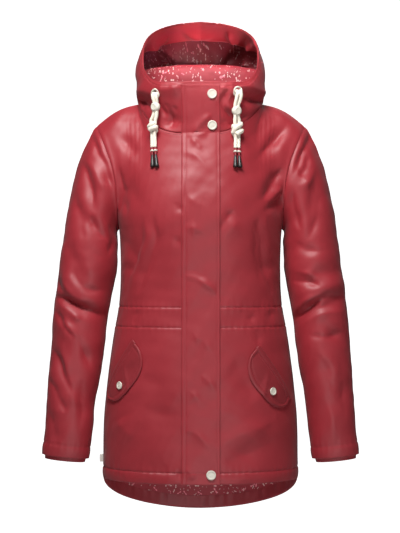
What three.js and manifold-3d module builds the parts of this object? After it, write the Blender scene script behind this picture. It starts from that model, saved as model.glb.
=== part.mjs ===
// A hooded raincoat, filled out as worn and hollow. Millimetres, +Z up, front towards -Y.
// The wearer's left is at +X. The origin is at the neck base on the shoulder line.
import * as THREE from "three";
import Module from "manifold-3d";
import { mergeVertices } from "three/addons/utils/BufferGeometryUtils.js";

const wasm = await Module();
wasm.setup();

// Walls, seams and layers
const CLOTH_WALL = 1.6;
const LINING_WALL = 1.0;
const FLAP_WALL = 2.2;
const SEAM_GAP = 0.3;
const LAY_GAP = 0.75;
const SEAT_GAP = 0.6;
const LAYER_STEP = CLOTH_WALL + 0.4;
const SMOOTH_SEAM = -0.1;

// Grid of the shells: how many cells a piece has along and across
const BODY_ROWS = 17;
const UPPER_ROWS = 8;
const NECK_COLUMNS = 6;
const SHOULDER_COLUMNS = 4;
const CAP_ROWS = 6;
const SLEEVE_ROWS = 16;
const STAND_ROWS = 5;
const BAG_ROWS = 9;

// Body sections below the armholes: half width and depth before and behind the side seam
const ROUNDNESS = 2.2;
const UNDERARM_Z = -222;
const BODY_SECTIONS = [
  { z: -775, half: 185, front: 148, back: 145 },
  { z: -690, half: 184.5, front: 147, back: 143 },
  { z: -583, half: 183, front: 143, back: 136 },
  { z: -507, half: 176, front: 137, back: 128 },
  { z: -431, half: 166, front: 130, back: 119 },
  { z: -360, half: 154, front: 125, back: 112 },
  { z: -298, half: 151, front: 126, back: 113 },
  { z: -241, half: 152.5, front: 131, back: 118 },
  { z: -222, half: 154, front: 133, back: 121 },
  { z: -190, half: 157, front: 134, back: 123 },
];
const HEM_Z = -689;
const TAIL_DROP = 79;

// Neck seam, as an oval that rises to the shoulders
const NECK = { half: 118, y: 3, front: 98, back: 80, frontZ: -45, backZ: 2, sideZ: 17 };
const NECK_RISE_LEFT = 2.7;
const NECK_RISE_RIGHT = 4;
const NECK_SHARE = 0.62;
const SHOULDER_EASE = { spread: 0.13, reach: 0.22, fade: 0.5, start: 0.4, seam: 0.15 };
const SOFT_TAPS = [-2, -1, 0, 1, 2];
const SOFT_WEIGHTS = [0.0625, 0.25, 0.375, 0.25, 0.0625];
const SHOULDER_TIP = { x: 199, y: 4, z: -26 };
const SHOULDER_ARCH = 9;

// Armhole seam from the underarm to the shoulder tip
const ARMHOLE_FRONT = [
  { share: 0, x: 154, y: 0, z: -222 },
  { share: 1 / 6, x: 155.5, y: -24, z: -206 },
  { share: 2 / 6, x: 156, y: -43, z: -172 },
  { share: 3 / 6, x: 160, y: -51, z: -132 },
  { share: 4 / 6, x: 170, y: -45, z: -93 },
  { share: 5 / 6, x: 187, y: -26, z: -51 },
  { share: 1, x: 199, y: 4, z: -26 },
];
const ARMHOLE_BACK = [
  { share: 0, x: 154, y: 0, z: -222 },
  { share: 1 / 6, x: 155.5, y: 25, z: -205 },
  { share: 2 / 6, x: 156.5, y: 45, z: -171 },
  { share: 3 / 6, x: 161, y: 54, z: -131 },
  { share: 4 / 6, x: 171, y: 49, z: -92 },
  { share: 5 / 6, x: 187, y: 32, z: -50 },
  { share: 1, x: 199, y: 4, z: -26 },
];

// Sleeve sections from the upper arm to the sleeve end
const SLEEVE_SECTIONS = [
  { z: -652, x: 255, y: -27, half: 44.5, deep: 34 },
  { z: -593, x: 248, y: -24, half: 45.5, deep: 40 },
  { z: -541, x: 244, y: -20, half: 46, deep: 45 },
  { z: -500, x: 239, y: -17, half: 48, deep: 49 },
  { z: -431, x: 231, y: -12, half: 51, deep: 54 },
  { z: -386, x: 227.5, y: -9, half: 51.5, deep: 56 },
  { z: -340, x: 220.5, y: -7, half: 53.5, deep: 58 },
  { z: -290, x: 213, y: -5, half: 54, deep: 60 },
  { z: -248, x: 208.5, y: -2, half: 52.5, deep: 60 },
];
const CAP_END_Z = -248;
const SLEEVE_END_Z = -648;
const CUFF_SECTIONS = [
  { down: -26, inset: 2.1 },
  { down: -12, inset: 3.4 },
  { down: 8, inset: 6.8 },
];
const CUFF_LEAN = 0.12;
const MOST_SLEEVE_SLOPE = 0.3;

// Hood stations, every 22.5 degrees of the neck seam from the chin to the centre back:
// the fold line where the stand rolls over, and the rim of the face opening
const HOOD_STEP = 22.5;
const HOOD = [
  { foldX: 0, foldY: -99, foldZ: 5, rimX: 0, rimY: -100, rimZ: 50 },
  { foldX: 51, foldY: -90, foldZ: 5, rimX: 57, rimY: -92, rimZ: 50 },
  { foldX: 90, foldY: -66, foldZ: 18, rimX: 88, rimY: -70, rimZ: 55 },
  { foldX: 115, foldY: -32, foldZ: 42, rimX: 106, rimY: -40, rimZ: 78 },
  { foldX: 122, foldY: 6, foldZ: 62, rimX: 110, rimY: -16, rimZ: 108 },
  { foldX: 113, foldY: 46, foldZ: 80, rimX: 105, rimY: 18, rimZ: 140 },
  { foldX: 85, foldY: 78, foldZ: 92, rimX: 84, rimY: 47, rimZ: 163 },
  { foldX: 45, foldY: 94, foldZ: 98, rimX: 47, rimY: 65, rimZ: 177 },
  { foldX: 0, foldY: 99, foldZ: 100, rimX: 0, rimY: 72, rimZ: 183 },
];
// How the hood's cloth leaves each line: over the stand, out of the fold and into the rim
const HOOD_PULL = [
  { rollY: 0, rollZ: 50, bagX: 0, bagY: 0, bagZ: 45, endX: 0, endY: 0, endZ: 45 },
  { rollY: 0, rollZ: 48, bagX: 2, bagY: 0, bagZ: 45, endX: 6, endY: 0, endZ: 44 },
  { rollY: 0, rollZ: 40, bagX: 6, bagY: 0, bagZ: 40, endX: -14, endY: -4, endZ: 36 },
  { rollY: 4, rollZ: 40, bagX: 6, bagY: 10, bagZ: 40, endX: -28, endY: -20, endZ: 36 },
  { rollY: 10, rollZ: 45, bagX: 12, bagY: 30, bagZ: 50, endX: -40, endY: -60, endZ: 50 },
  { rollY: 30, rollZ: 45, bagX: 24, bagY: 120, bagZ: 20, endX: -40, endY: -150, endZ: 60 },
  { rollY: 55, rollZ: 30, bagX: 16, bagY: 260, bagZ: -70, endX: -20, endY: -290, endZ: 70 },
  { rollY: 70, rollZ: 12, bagX: 6, bagY: 350, bagZ: -150, endX: 0, endY: -380, endZ: 80 },
  { rollY: 75, rollZ: 6, bagX: 0, bagY: 380, bagZ: -190, endX: 0, endY: -410, endZ: 84 },
];
const HOOD_SEAM_ANGLE = 165;
const FACING_LEVEL = 1 + 6 / 9;
const FACING_FROM_ANGLE = 75;
const CHIN_LINING = { level: 1.94, angle: 35 };
const LOWEST_COLLAR_LEVEL = 0.05;
const RIM_INSET = 1.2;
const CHIN_INSET = 6;
const ROLL_GAP = 0.6;

// Placket, its edges and its top on the chin guard
const PLACKET = { left: -34, right: 34.5, top: 44.6 };
const PLACKET_COLUMNS = 4;

// Pocket flaps: the upper corner by arc from the front centre and by height, and the slant
const POCKETS = [
  { name: "l", side: 1, arc: 104, z: -444 },
  { name: "r", side: -1, arc: 127, z: -434 },
];
const FLAP = { length: 130, drop: 46, slant: 48.5, bulge: 2.8, inset: 0.03, snapAlong: 82, snapDown: 26 };
const WELT = { width: 9, gap: 0.4 };
const FLAP_COLUMNS = 10;
const FLAP_ROWS = 5;

// Hem facing and lining inside the back tail
const FACING_HEIGHT = 24;
const GATHERS = 28;
const GATHER_HEIGHT = 1.1;
const TAIL_REACH = { facing: 0.97, lining: 0.96 };
const TAIL_LIFT = { facing: 0.3, lining: 0.5 };
const LINING_TOP_Z = -404;
const LINING_GAP = 0.4;
const LINING_ROWS = 5;
const LINING_COLUMNS = 20;

// Trims
const SNAP = { radius: 8.9, height: 3.2 };
const POCKET_SNAP = { radius: 7.2, height: 2.8 };
const PLACKET_SNAPS = [
  { name: "snap_top", x: 20.9, z: 27.6 },
  { name: "snap_neck", x: 21.2, z: -30 },
  { name: "snap_hem", x: 19.1, z: -672 },
];
const EYELETS = [
  { name: "l", x: 68.1, z: 32.9 },
  { name: "r", x: -81.7, z: 29.4 },
];
const EYELET = { radius: 10.3, hole: 6.7, height: 2.4 };
const EYELET_SIDES = 18;
const SNAP_SIDES = 14;
const STRAND_RADIUS = 3;
const STRAND_SIDES = 8;
const STOP = { radius: 9.8, deep: 7.2, bore: 3.6, spread: 3.15, sides: 14, rings: 8 };
const TIP = { radius: 3.2, endRadius: 3.6, collar: 13 };
const TAB = { out: 6.5, thick: 0.9, height: 14, z: -655 };

// Cord routes: the middle between the two strands of a side, and each strand's distance from it.
// The turn is the way that the pair faces, in degrees from straight ahead.
const CORDS = [
  {
    name: "l",
    turn: 28,
    upper: [
      { x: 68.3, y: -85.9, z: 33.3, spread: 3.15 },
      { x: 70.4, y: -89.8, z: 32.9, spread: 3.2 },
      { x: 71.5, y: -93.0, z: 29.0, spread: 3.8 },
      { x: 71.0, y: -93.8, z: 22.5, spread: 4.3 },
      { x: 69.0, y: -93.2, z: 14.5, spread: 3.8 },
      { x: 67.0, y: -92.2, z: 7.6, spread: 3.15 },
      { x: 67.0, y: -92.0, z: -3.4, spread: 3.15 },
      { x: 67.0, y: -91.8, z: -14.0, spread: 3.3 },
      { x: 67.6, y: -91.4, z: -23.4, spread: 4.4 },
    ],
    stop: { x: 67.0, y: -92.0, z: -3.4 },
    knot: { x: 68.2, y: -91.4, z: -38.8, wide: 13.4, deep: 7.8, high: 14.4 },
    lower: [
      { x: 67.8, y: -92.0, z: -54.2, spread: 3.2 },
      { x: 67.6, y: -94.0, z: -64.0, spread: 3.2 },
      { x: 67.6, y: -96.8, z: -73.4, spread: 3.4 },
    ],
    tip: [
      { x: 67.6, y: -96.9, z: -73.8, spread: 3.4 },
      { x: 68.6, y: -109.6, z: -109.0, spread: 5.0 },
    ],
  },
  {
    name: "r",
    turn: -37,
    upper: [
      { x: -81.9, y: -76.0, z: 29.8, spread: 3.15 },
      { x: -84.4, y: -79.5, z: 29.4, spread: 3.2 },
      { x: -85.8, y: -82.4, z: 26.0, spread: 3.5 },
      { x: -85.2, y: -83.2, z: 21.0, spread: 3.6 },
      { x: -83.8, y: -82.6, z: 15.6, spread: 3.15 },
      { x: -83.8, y: -82.2, z: 4.5, spread: 3.15 },
      { x: -83.9, y: -81.9, z: -6.4, spread: 3.3 },
      { x: -85.8, y: -81.3, z: -14.4, spread: 4.3 },
      { x: -88.0, y: -80.8, z: -22.0, spread: 5.0 },
    ],
    stop: { x: -83.8, y: -82.2, z: 4.5 },
    knot: { x: -88.6, y: -80.8, z: -33.4, wide: 12.8, deep: 7.8, high: 10.2 },
    lower: [
      { x: -87.8, y: -80.8, z: -44.6, spread: 3.2 },
      { x: -87.4, y: -82.4, z: -57.0, spread: 3.2 },
      { x: -87.0, y: -85.6, z: -71.0, spread: 3.4 },
    ],
    tip: [
      { x: -87.0, y: -85.8, z: -71.4, spread: 3.4 },
      { x: -84.6, y: -98.8, z: -107.8, spread: 5.0 },
    ],
  },
];
const UPPER_STEPS = 13;
const LOWER_STEPS = 3;

// Soft folds, placed in the front or back view: a negative height is a trough
const FOLDS = [
  { face: "front", x0: -154, z0: -42, x1: -118, z1: -84, wide: 12, high: -4 },
  { face: "front", x0: 161, z0: -26, x1: 114, z1: -84, wide: 12, high: -5 },
  { face: "front", x0: 145, z0: -108, x1: 112, z1: -166, wide: 12, high: -3.5 },
  { face: "front", x0: -143, z0: -130, x1: -112, z1: -178, wide: 14, high: -3 },
  { face: "front", x0: 142, z0: -285, x1: 112, z1: -302, wide: 12, high: -3 },
  { face: "front", x0: -146, z0: -294, x1: -116, z1: -300, wide: 11, high: -3 },
  { face: "front", x0: -211, z0: -128, x1: -199, z1: -194, wide: 11, high: -4.5 },
  { face: "front", x0: -224, z0: -188, x1: -186, z1: -242, wide: 12, high: -4.5 },
  { face: "front", x0: -252, z0: -246, x1: -214, z1: -326, wide: 13, high: -4.5 },
  { face: "front", x0: -266, z0: -300, x1: -190, z1: -362, wide: 13, high: 4 },
  { face: "front", x0: -270, z0: -352, x1: -182, z1: -386, wide: 12, high: -6.5 },
  { face: "front", x0: -276, z0: -378, x1: -236, z1: -428, wide: 12, high: 3.5 },
  { face: "front", x0: -282, z0: -441, x1: -228, z1: -530, wide: 14, high: -4 },
  { face: "front", x0: 188, z0: -60, x1: 196, z1: -140, wide: 12, high: 3.5 },
  { face: "front", x0: 214, z0: -130, x1: 206, z1: -210, wide: 12, high: -4 },
  { face: "front", x0: 181, z0: -312, x1: 262, z1: -300, wide: 12, high: -4 },
  { face: "front", x0: 184, z0: -340, x1: 266, z1: -326, wide: 11, high: 3.5 },
  { face: "front", x0: 180, z0: -390, x1: 268, z1: -350, wide: 12, high: -6.5 },
  { face: "front", x0: 232, z0: -400, x1: 276, z1: -440, wide: 12, high: -4 },
  { face: "front", x0: 212, z0: -440, x1: 262, z1: -500, wide: 14, high: 3 },
  { face: "back", x0: -120, z0: -70, x1: -100, z1: -170, wide: 15, high: -3.5 },
  { face: "back", x0: 122, z0: -64, x1: 98, z1: -160, wide: 15, high: -3.5 },
  { face: "back", x0: -132, z0: -300, x1: -70, z1: -318, wide: 13, high: -3 },
  { face: "back", x0: 134, z0: -288, x1: 80, z1: -306, wide: 13, high: -3 },
  { face: "back", x0: -258, z0: -330, x1: -196, z1: -352, wide: 12, high: -4.5 },
  { face: "back", x0: 260, z0: -318, x1: 194, z1: -344, wide: 12, high: -4.5 },
  { face: "back", x0: -226, z0: -130, x1: -200, z1: -214, wide: 13, high: -4 },
  { face: "back", x0: 228, z0: -136, x1: 200, z1: -220, wide: 13, high: -4 },
  { face: "back", x0: -270, z0: -440, x1: -226, z1: -500, wide: 13, high: -3.5 },
  { face: "back", x0: 272, z0: -452, x1: 228, z1: -512, wide: 13, high: -3.5 },
];

const clamp = (value, low, high) => Math.min(Math.max(value, low), high);
const mix = (a, b, share) => a + (b - a) * share;
const radians = (degrees) => (degrees * Math.PI) / 180;
const vector = (x, y, z) => new THREE.Vector3(x, y, z);

function ease(low, high, value) {
  const share = clamp((value - low) / (high - low), 0, 1);
  return share * share * (3 - 2 * share);
}

// Cubic curve between two values with a pull at each end
function cubic(start, startPull, end, endPull, t) {
  const t2 = t * t;
  const t3 = t2 * t;
  const fromStart = start * (2 * t3 - 3 * t2 + 1) + startPull * (t3 - 2 * t2 + t);
  return fromStart + end * (3 * t2 - 2 * t3) + endPull * (t3 - t2);
}

function cubicPoint(start, startPull, end, endPull, t) {
  const along = (axis) => cubic(start[axis], startPull[axis], end[axis], endPull[axis], t);
  return vector(along("x"), along("y"), along("z"));
}

// A smooth curve through one column of a table that is sorted by its key column
function tableValue(rows, key, value, name) {
  const last = rows.length - 1;
  let i = 0;
  while (i < last - 1 && value > rows[i + 1][key]) i += 1;
  const slope = (at) => {
    const before = rows[Math.max(at - 1, 0)];
    const after = rows[Math.min(at + 1, last)];
    return (after[name] - before[name]) / (after[key] - before[key]);
  };
  const step = rows[i + 1][key] - rows[i][key];
  const t = clamp((value - rows[i][key]) / step, 0, 1);
  return cubic(rows[i][name], slope(i) * step, rows[i + 1][name], slope(i + 1) * step, t);
}

// Point on a quarter of a rounded section, by the share of its arc from the centre
function quarterPoint(half, deep, share) {
  const power = 2 / ROUNDNESS;
  const steps = 60;
  const at = (i) => {
    const angle = (i / steps) * (Math.PI / 2);
    const cos = i === steps ? 0 : Math.cos(angle);
    return { x: half * Math.sin(angle) ** power, y: deep * cos ** power };
  };
  const arcs = [0];
  for (let i = 1; i <= steps; i += 1) {
    const a = at(i - 1);
    const b = at(i);
    arcs.push(arcs[i - 1] + Math.hypot(b.x - a.x, b.y - a.y));
  }
  const wanted = clamp(share, 0, 1) * arcs[steps];
  let i = 1;
  while (i < steps && arcs[i] < wanted) i += 1;
  const t = (wanted - arcs[i - 1]) / (arcs[i] - arcs[i - 1]);
  const a = at(i - 1);
  const b = at(i);
  return { x: mix(a.x, b.x, t), y: mix(a.y, b.y, t), arc: arcs[steps] };
}

// Body section at a height: share 0 is the centre and 1 the side seam
function sectionPoint(z, share, side, back) {
  const half = tableValue(BODY_SECTIONS, "z", z, "half");
  const deep = tableValue(BODY_SECTIONS, "z", z, back ? "back" : "front");
  const point = quarterPoint(half, deep, share);
  return vector(side * point.x, back ? point.y : -point.y, z);
}

function frontArc(z) {
  const half = tableValue(BODY_SECTIONS, "z", z, "half");
  return quarterPoint(half, tableValue(BODY_SECTIONS, "z", z, "front"), 0).arc;
}

// Neck seam by its angle, from 0 at the centre front to 180 at the centre back
function neckPoint(angle, side) {
  const sine = Math.sin(radians(angle));
  const cosine = Math.cos(radians(angle));
  const y = NECK.y - cosine * (angle <= 90 ? NECK.front : NECK.back);
  const rise = side > 0 ? NECK_RISE_LEFT : NECK_RISE_RIGHT;
  const base = angle <= 90 ? NECK.frontZ : NECK.backZ;
  const z = base + (NECK.sideZ - base) * sine ** (angle <= 90 ? rise : 2);
  return vector(side * NECK.half * sine, y, z);
}

// Upper edge of a front or back: the neck seam, then the shoulder seam
function topPoint(share, side, back) {
  if (share <= NECK_SHARE) {
    const angle = (90 * share) / NECK_SHARE;
    return neckPoint(back ? 180 - angle : angle, side);
  }
  const along = (share - NECK_SHARE) / (1 - NECK_SHARE);
  const start = neckPoint(90, side);
  const z = mix(start.z, SHOULDER_TIP.z, along) + SHOULDER_ARCH * Math.sin(Math.PI * along);
  return vector(mix(start.x, side * SHOULDER_TIP.x, along), mix(start.y, SHOULDER_TIP.y, along), z);
}

function armholePoint(share, side, back) {
  const rows = back ? ARMHOLE_BACK : ARMHOLE_FRONT;
  const at = (name) => tableValue(rows, "share", share, name);
  return vector(side * at("x"), at("y"), at("z"));
}

// Body above the underarm, from its section there to the upper edge
function bentUp(share, rise, side, back) {
  const start = sectionPoint(UNDERARM_Z, share, side, back);
  const below = sectionPoint(UNDERARM_Z - 20, share, side, back);
  const end = topPoint(share, side, back);
  const height = end.z - start.z;
  const startPull = start.clone().sub(below).multiplyScalar(height / 20);
  const toShoulder = ease(0.4, 0.8, share);
  const inward = back ? -1 : 1;
  const endPull = vector(0, inward * mix(60, 165, toShoulder), mix(height * 0.95, 12, toShoulder));
  return cubicPoint(start, startPull, end, endPull, rise);
}

// Softens the corner that neck and shoulder seam make, the more the further below them
function softUp(share, rise, side, back) {
  const bend = Math.exp(-(((share - NECK_SHARE) / SHOULDER_EASE.reach) ** 2));
  const inside = ease(0, SHOULDER_EASE.start, rise) * ease(0, SHOULDER_EASE.fade, 1 - rise);
  const spread = SHOULDER_EASE.spread * bend * inside * ease(0, SHOULDER_EASE.seam, 1 - share);
  const point = vector(0, 0, 0);
  SOFT_TAPS.forEach((step, index) => {
    const near = clamp(share + step * spread, 0, 1);
    point.addScaledVector(bentUp(near, rise, side, back), SOFT_WEIGHTS[index]);
  });
  return point;
}

function upperPoint(share, rise, side, back) {
  const point = softUp(share, rise, side, back);
  const seam = armholePoint(rise, side, back).sub(bentUp(1, rise, side, back));
  return point.add(seam.multiplyScalar(share ** 4));
}

// Body by share and level: 0 at the hem, 1 at the underarm, 2 at the upper edge
function bodyPoint(share, level, side, back) {
  if (level > 1) return upperPoint(share, level - 1, side, back);
  const hem = back ? HEM_Z - TAIL_DROP * (1 - share * share) : HEM_Z;
  return sectionPoint(mix(hem, UNDERARM_Z, level), share, side, back);
}

// Height of the folds at a point that faces forwards or backwards
function foldHeight(point, normal) {
  const face = normal.y < 0 ? "front" : "back";
  const facing = clamp(Math.abs(normal.y) * 1.6, 0, 1);
  let height = 0;
  for (const fold of FOLDS.filter((row) => row.face === face)) {
    const dx = fold.x1 - fold.x0;
    const dz = fold.z1 - fold.z0;
    const along = ((point.x - fold.x0) * dx + (point.z - fold.z0) * dz) / (dx * dx + dz * dz);
    const near = clamp(along, 0, 1);
    const away = Math.hypot(point.x - fold.x0 - dx * near, point.z - fold.z0 - dz * near);
    const ends = Math.sin(Math.PI * clamp(mix(0.12, 0.88, near), 0, 1));
    height += fold.high * ends * Math.exp(-((away / fold.wide) ** 2));
  }
  return height * facing;
}

// Outward normal of a surface given as a function of two values
function surfaceNormal(surface, u, v, outward) {
  const step = 0.004;
  const du = surface(u + step, v).sub(surface(u - step, v));
  const dv = surface(u, v + step).sub(surface(u, v - step));
  const normal = du.cross(dv).normalize();
  return normal.multiplyScalar(outward);
}

// Front or back with its folds, and a piece that lies on it raised by a height
function foldedBody(share, level, side, back, raised = 0) {
  const surface = (u, v) => bodyPoint(u, clamp(v, 0, 2), side, back);
  const inside = clamp(share, 0.01, 0.99);
  const normal = surfaceNormal(surface, inside, clamp(level, 0.01, 1.99), back ? -side : side);
  const fade = level > 1 ? ease(0, 0.16, 1 - share) * ease(0, 0.2, 2 - level) : 1;
  const point = surface(share, level);
  return point.addScaledVector(normal, foldHeight(point, normal) * fade + raised);
}

// Sleeve: turn 0 is the underarm, 0.25 the front, 0.5 the outer side
function sleeveRing(z, turn, side, inset = 0) {
  const at = (name) => tableValue(SLEEVE_SECTIONS, "z", z, name);
  const angle = 2 * Math.PI * turn;
  const reach = 6;
  const below = tableValue(SLEEVE_SECTIONS, "z", z - reach, "x");
  const above = tableValue(SLEEVE_SECTIONS, "z", z + reach, "x");
  const slope = clamp((below - above) / (2 * reach), -MOST_SLEEVE_SLOPE, MOST_SLEEVE_SLOPE);
  const out = vector(1, 0, slope).normalize();
  const wide = -Math.cos(angle) * (at("half") - inset);
  const deep = -Math.sin(angle) * (at("deep") - inset);
  return vector(side * (at("x") + out.x * wide), at("y") + deep, z + out.z * wide);
}

function sleevePoint(turn, level, side) {
  if (level >= 1) return sleeveRing(mix(CAP_END_Z, SLEEVE_END_Z, level - 1), turn, side);
  const back = turn > 0.5;
  const start = armholePoint(back ? 2 - 2 * turn : 2 * turn, side, back);
  const end = sleeveRing(CAP_END_Z, turn, side);
  const length = start.distanceTo(end);
  const high = (1 - Math.cos(2 * Math.PI * turn)) / 2;
  const sway = -0.2 * Math.sin(2 * Math.PI * turn);
  const startPull = vector(side * mix(0.75, 0.42, high), sway, -mix(0.66, 0.55, high));
  const endPull = vector(side * 0.1, -0.03, -0.99);
  return cubicPoint(start, startPull.multiplyScalar(length), end, endPull.multiplyScalar(length), level);
}

function foldedSleeve(turn, level, side) {
  const surface = (u, v) => sleevePoint((u + 1) % 1, clamp(v, 0, 2), side);
  const normal = surfaceNormal(surface, turn, clamp(level, 0.01, 1.99), -side);
  const fade = ease(0, 0.5, level) * ease(0, 0.12, 2 - level);
  const point = surface(turn, level);
  return point.addScaledVector(normal, foldHeight(point, normal) * fade);
}

// Hood by the angle of its neck seam and level: 0 neck seam, 1 fold of the stand, 2 rim
function hoodPoint(angle, level, side) {
  const station = clamp(angle / HOOD_STEP, 0, HOOD.length - 1);
  const rows = HOOD.map((row, index) => ({ ...row, ...HOOD_PULL[index], index }));
  const at = (name) => tableValue(rows, "index", station, name);
  const neck = neckPoint(clamp(angle, 0, 180), side);
  const fold = vector(side * at("foldX"), at("foldY"), at("foldZ"));
  const roll = vector(0, at("rollY"), at("rollZ"));
  if (level <= 1) {
    const rise = fold.clone().sub(neck).multiplyScalar(0.9);
    rise.x += side * 14 * Math.sin(radians(angle));
    return cubicPoint(neck, rise, fold, roll, level);
  }
  const rim = vector(side * at("rimX"), at("rimY"), at("rimZ"));
  const bag = vector(side * at("bagX"), at("bagY"), at("bagZ"));
  const end = vector(side * at("endX"), at("endY"), at("endZ"));
  return cubicPoint(fold, bag, rim, end, level - 1);
}

// The grid of a piece's outer points becomes a closed wall, with its inner points a wall away.
// A round piece joins its last column to its first.
class Shell {
  constructor(name, points, wall, outward, round = false) {
    Object.assign(this, { name, points, wall, round });
    this.rows = points.length;
    this.columns = points[0].length;
    this.normals = points.map((row, i) => row.map((_, j) => this.gridNormal(i, j, outward)));
  }

  gridNormal(i, j, outward) {
    const right = this.round ? (j + 1) % this.columns : Math.min(j + 1, this.columns - 1);
    const left = this.round ? (j + this.columns - 1) % this.columns : Math.max(j - 1, 0);
    const up = Math.min(i + 1, this.rows - 1);
    const down = Math.max(i - 1, 0);
    const across = this.points[i][right].clone().sub(this.points[i][left]);
    const along = this.points[up][j].clone().sub(this.points[down][j]);
    return across.cross(along).normalize().multiplyScalar(outward);
  }

  // Draws an edge back from its seam
  pullBack(gaps) {
    const old = this.points.map((row) => row.map((point) => point.clone()));
    const last = { row: this.rows - 1, column: this.columns - 1 };
    const shift = (i, j, ni, nj, gap) => {
      const way = old[ni][nj].clone().sub(old[i][j]).normalize();
      this.points[i][j].addScaledVector(way, gap);
    };
    for (let j = 0; j <= last.column; j += 1) {
      if (gaps.bottom) shift(0, j, 1, j, gaps.bottom);
      if (gaps.top) shift(last.row, j, last.row - 1, j, gaps.top);
    }
    for (let i = 0; i <= last.row; i += 1) {
      if (gaps.left) shift(i, 0, i, 1, gaps.left);
      if (gaps.right) shift(i, last.column, i, last.column - 1, gaps.right);
    }
    return this;
  }

  geometry() {
    const count = this.rows * this.columns;
    const outer = this.points.flat();
    const normals = this.normals.flat();
    const inner = outer.map((point, k) => point.clone().addScaledVector(normals[k], -this.wall));
    const at = (i, j) => i * this.columns + (j % this.columns);
    const faces = [];
    const quad = (a, b, c, d) => faces.push(a, b, c, a, c, d);
    const across = this.round ? this.columns : this.columns - 1;
    for (let i = 0; i < this.rows - 1; i += 1) {
      for (let j = 0; j < across; j += 1) {
        const [a, b, c, d] = [at(i, j), at(i, j + 1), at(i + 1, j + 1), at(i + 1, j)];
        quad(a, b, c, d);
        faces.push(count + a, count + c, count + b, count + a, count + d, count + c);
      }
      if (!this.round) {
        const end = this.columns - 1;
        quad(at(i, 0), at(i + 1, 0), count + at(i + 1, 0), count + at(i, 0));
        quad(at(i + 1, end), at(i, end), count + at(i, end), count + at(i + 1, end));
      }
    }
    for (let j = 0; j < across; j += 1) {
      const top = this.rows - 1;
      quad(at(0, j + 1), at(0, j), count + at(0, j), count + at(0, j + 1));
      quad(at(top, j), at(top, j + 1), count + at(top, j + 1), count + at(top, j));
    }
    return closedGeometry([...outer, ...inner], faces);
  }
}

// Geometry from points and faces, turned so that its volume is positive
function closedGeometry(points, faces) {
  let volume = 0;
  for (let k = 0; k < faces.length; k += 3) {
    const [a, b, c] = [points[faces[k]], points[faces[k + 1]], points[faces[k + 2]]];
    volume += a.dot(b.clone().cross(c));
  }
  const turned = [];
  for (let k = 0; k < faces.length; k += 3) {
    if (volume > 0) turned.push(faces[k], faces[k + 1], faces[k + 2]);
    else turned.push(faces[k], faces[k + 2], faces[k + 1]);
  }
  const geometry = new THREE.BufferGeometry();
  const values = points.flatMap((point) => [point.x, point.y, point.z]);
  geometry.setAttribute("position", new THREE.Float32BufferAttribute(values, 3));
  geometry.setIndex(turned);
  geometry.computeVertexNormals();
  return geometry;
}

// Pieces that run smoothly into each other share one normal at their seam, so their walls end
// on one plane. At a sharp crease each keeps its own, because its wall lies on its own side.
function joinSeams(shells) {
  const seams = new Map();
  const key = (point) => [point.x, point.y, point.z].map((value) => value.toFixed(2)).join(" ");
  const visit = (action) => {
    for (const shell of shells) {
      shell.points.forEach((row, i) => row.forEach((point, j) => action(shell, i, j, key(point))));
    }
  };
  visit((shell, i, j, place) => {
    if (!seams.has(place)) seams.set(place, []);
    seams.get(place).push(shell.normals[i][j].clone());
  });
  visit((shell, i, j, place) => {
    const own = shell.normals[i][j].clone();
    const near = seams.get(place).filter((normal) => normal.dot(own) > SMOOTH_SEAM);
    shell.normals[i][j] = near.reduce((sum, normal) => sum.add(normal), vector(0, 0, 0)).normalize();
  });
}

const range = (count) => Array.from({ length: count + 1 }, (_, i) => i / count);
const levels = [...range(BODY_ROWS), ...range(UPPER_ROWS).slice(1).map((rise) => 1 + rise)];
const shares = [
  ...range(NECK_COLUMNS).map((step) => step * NECK_SHARE),
  ...range(SHOULDER_COLUMNS).slice(1).map((step) => mix(NECK_SHARE, 1, step)),
];

function frontShell(name, side) {
  const points = levels.map((level) => shares.map((share) => foldedBody(share, level, side, false)));
  return new Shell(name, points, CLOTH_WALL, side);
}

function backShell() {
  const across = [...shares.slice(1).reverse().map((share) => -share), ...shares];
  const place = (share, level) => foldedBody(Math.abs(share), level, share < 0 ? -1 : 1, true);
  const points = levels.map((level) => across.map((share) => place(share, level)));
  return new Shell("back", points, CLOTH_WALL, -1);
}

function sleeveShell(name, side) {
  const turns = range(2 * UPPER_ROWS).slice(0, -1);
  const rows = [...range(CAP_ROWS), ...range(SLEEVE_ROWS).slice(1).map((step) => 1 + step)];
  const points = rows.map((level) => turns.map((turn) => foldedSleeve(turn, level, side)));
  return new Shell(name, points, CLOTH_WALL, -side, true);
}

function cuffShell(name, side) {
  const turns = range(2 * UPPER_ROWS).slice(0, -1);
  const ring = (row) => turns.map((turn) => {
    const point = sleeveRing(SLEEVE_END_Z, turn, side, row.inset);
    point.z -= row.down;
    point.x += side * row.down * CUFF_LEAN;
    return point;
  });
  return new Shell(name, CUFF_SECTIONS.map(ring), LINING_WALL, -side, true);
}

// Hood grid: columns by angle, rows by level, and a distance inside the outer points
const hoodLevels = [...range(STAND_ROWS), ...range(BAG_ROWS).slice(1).map((step) => 1 + step)];
const hoodAngle = 90 / NECK_COLUMNS;
const HOOD_TURNS = Array.from({ length: 4 * NECK_COLUMNS + 1 }, (_, i) => i * hoodAngle);

// Full turn from the left front edge over the centre back to the right front edge
function hoodAt(turn, level, inside = 0) {
  const place = (angle, height) => {
    const side = angle <= 180 ? 1 : -1;
    return hoodPoint(angle <= 180 ? angle : 360 - angle, clamp(height, 0, 2), side);
  };
  const point = place(turn, level);
  const du = place(Math.min(turn + 0.5, 360), level).sub(place(Math.max(turn - 0.5, 0), level));
  const dv = place(turn, level + 0.01).sub(place(turn, level - 0.01));
  const normal = du.cross(dv).normalize();
  return point.addScaledVector(normal, -inside);
}

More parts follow.
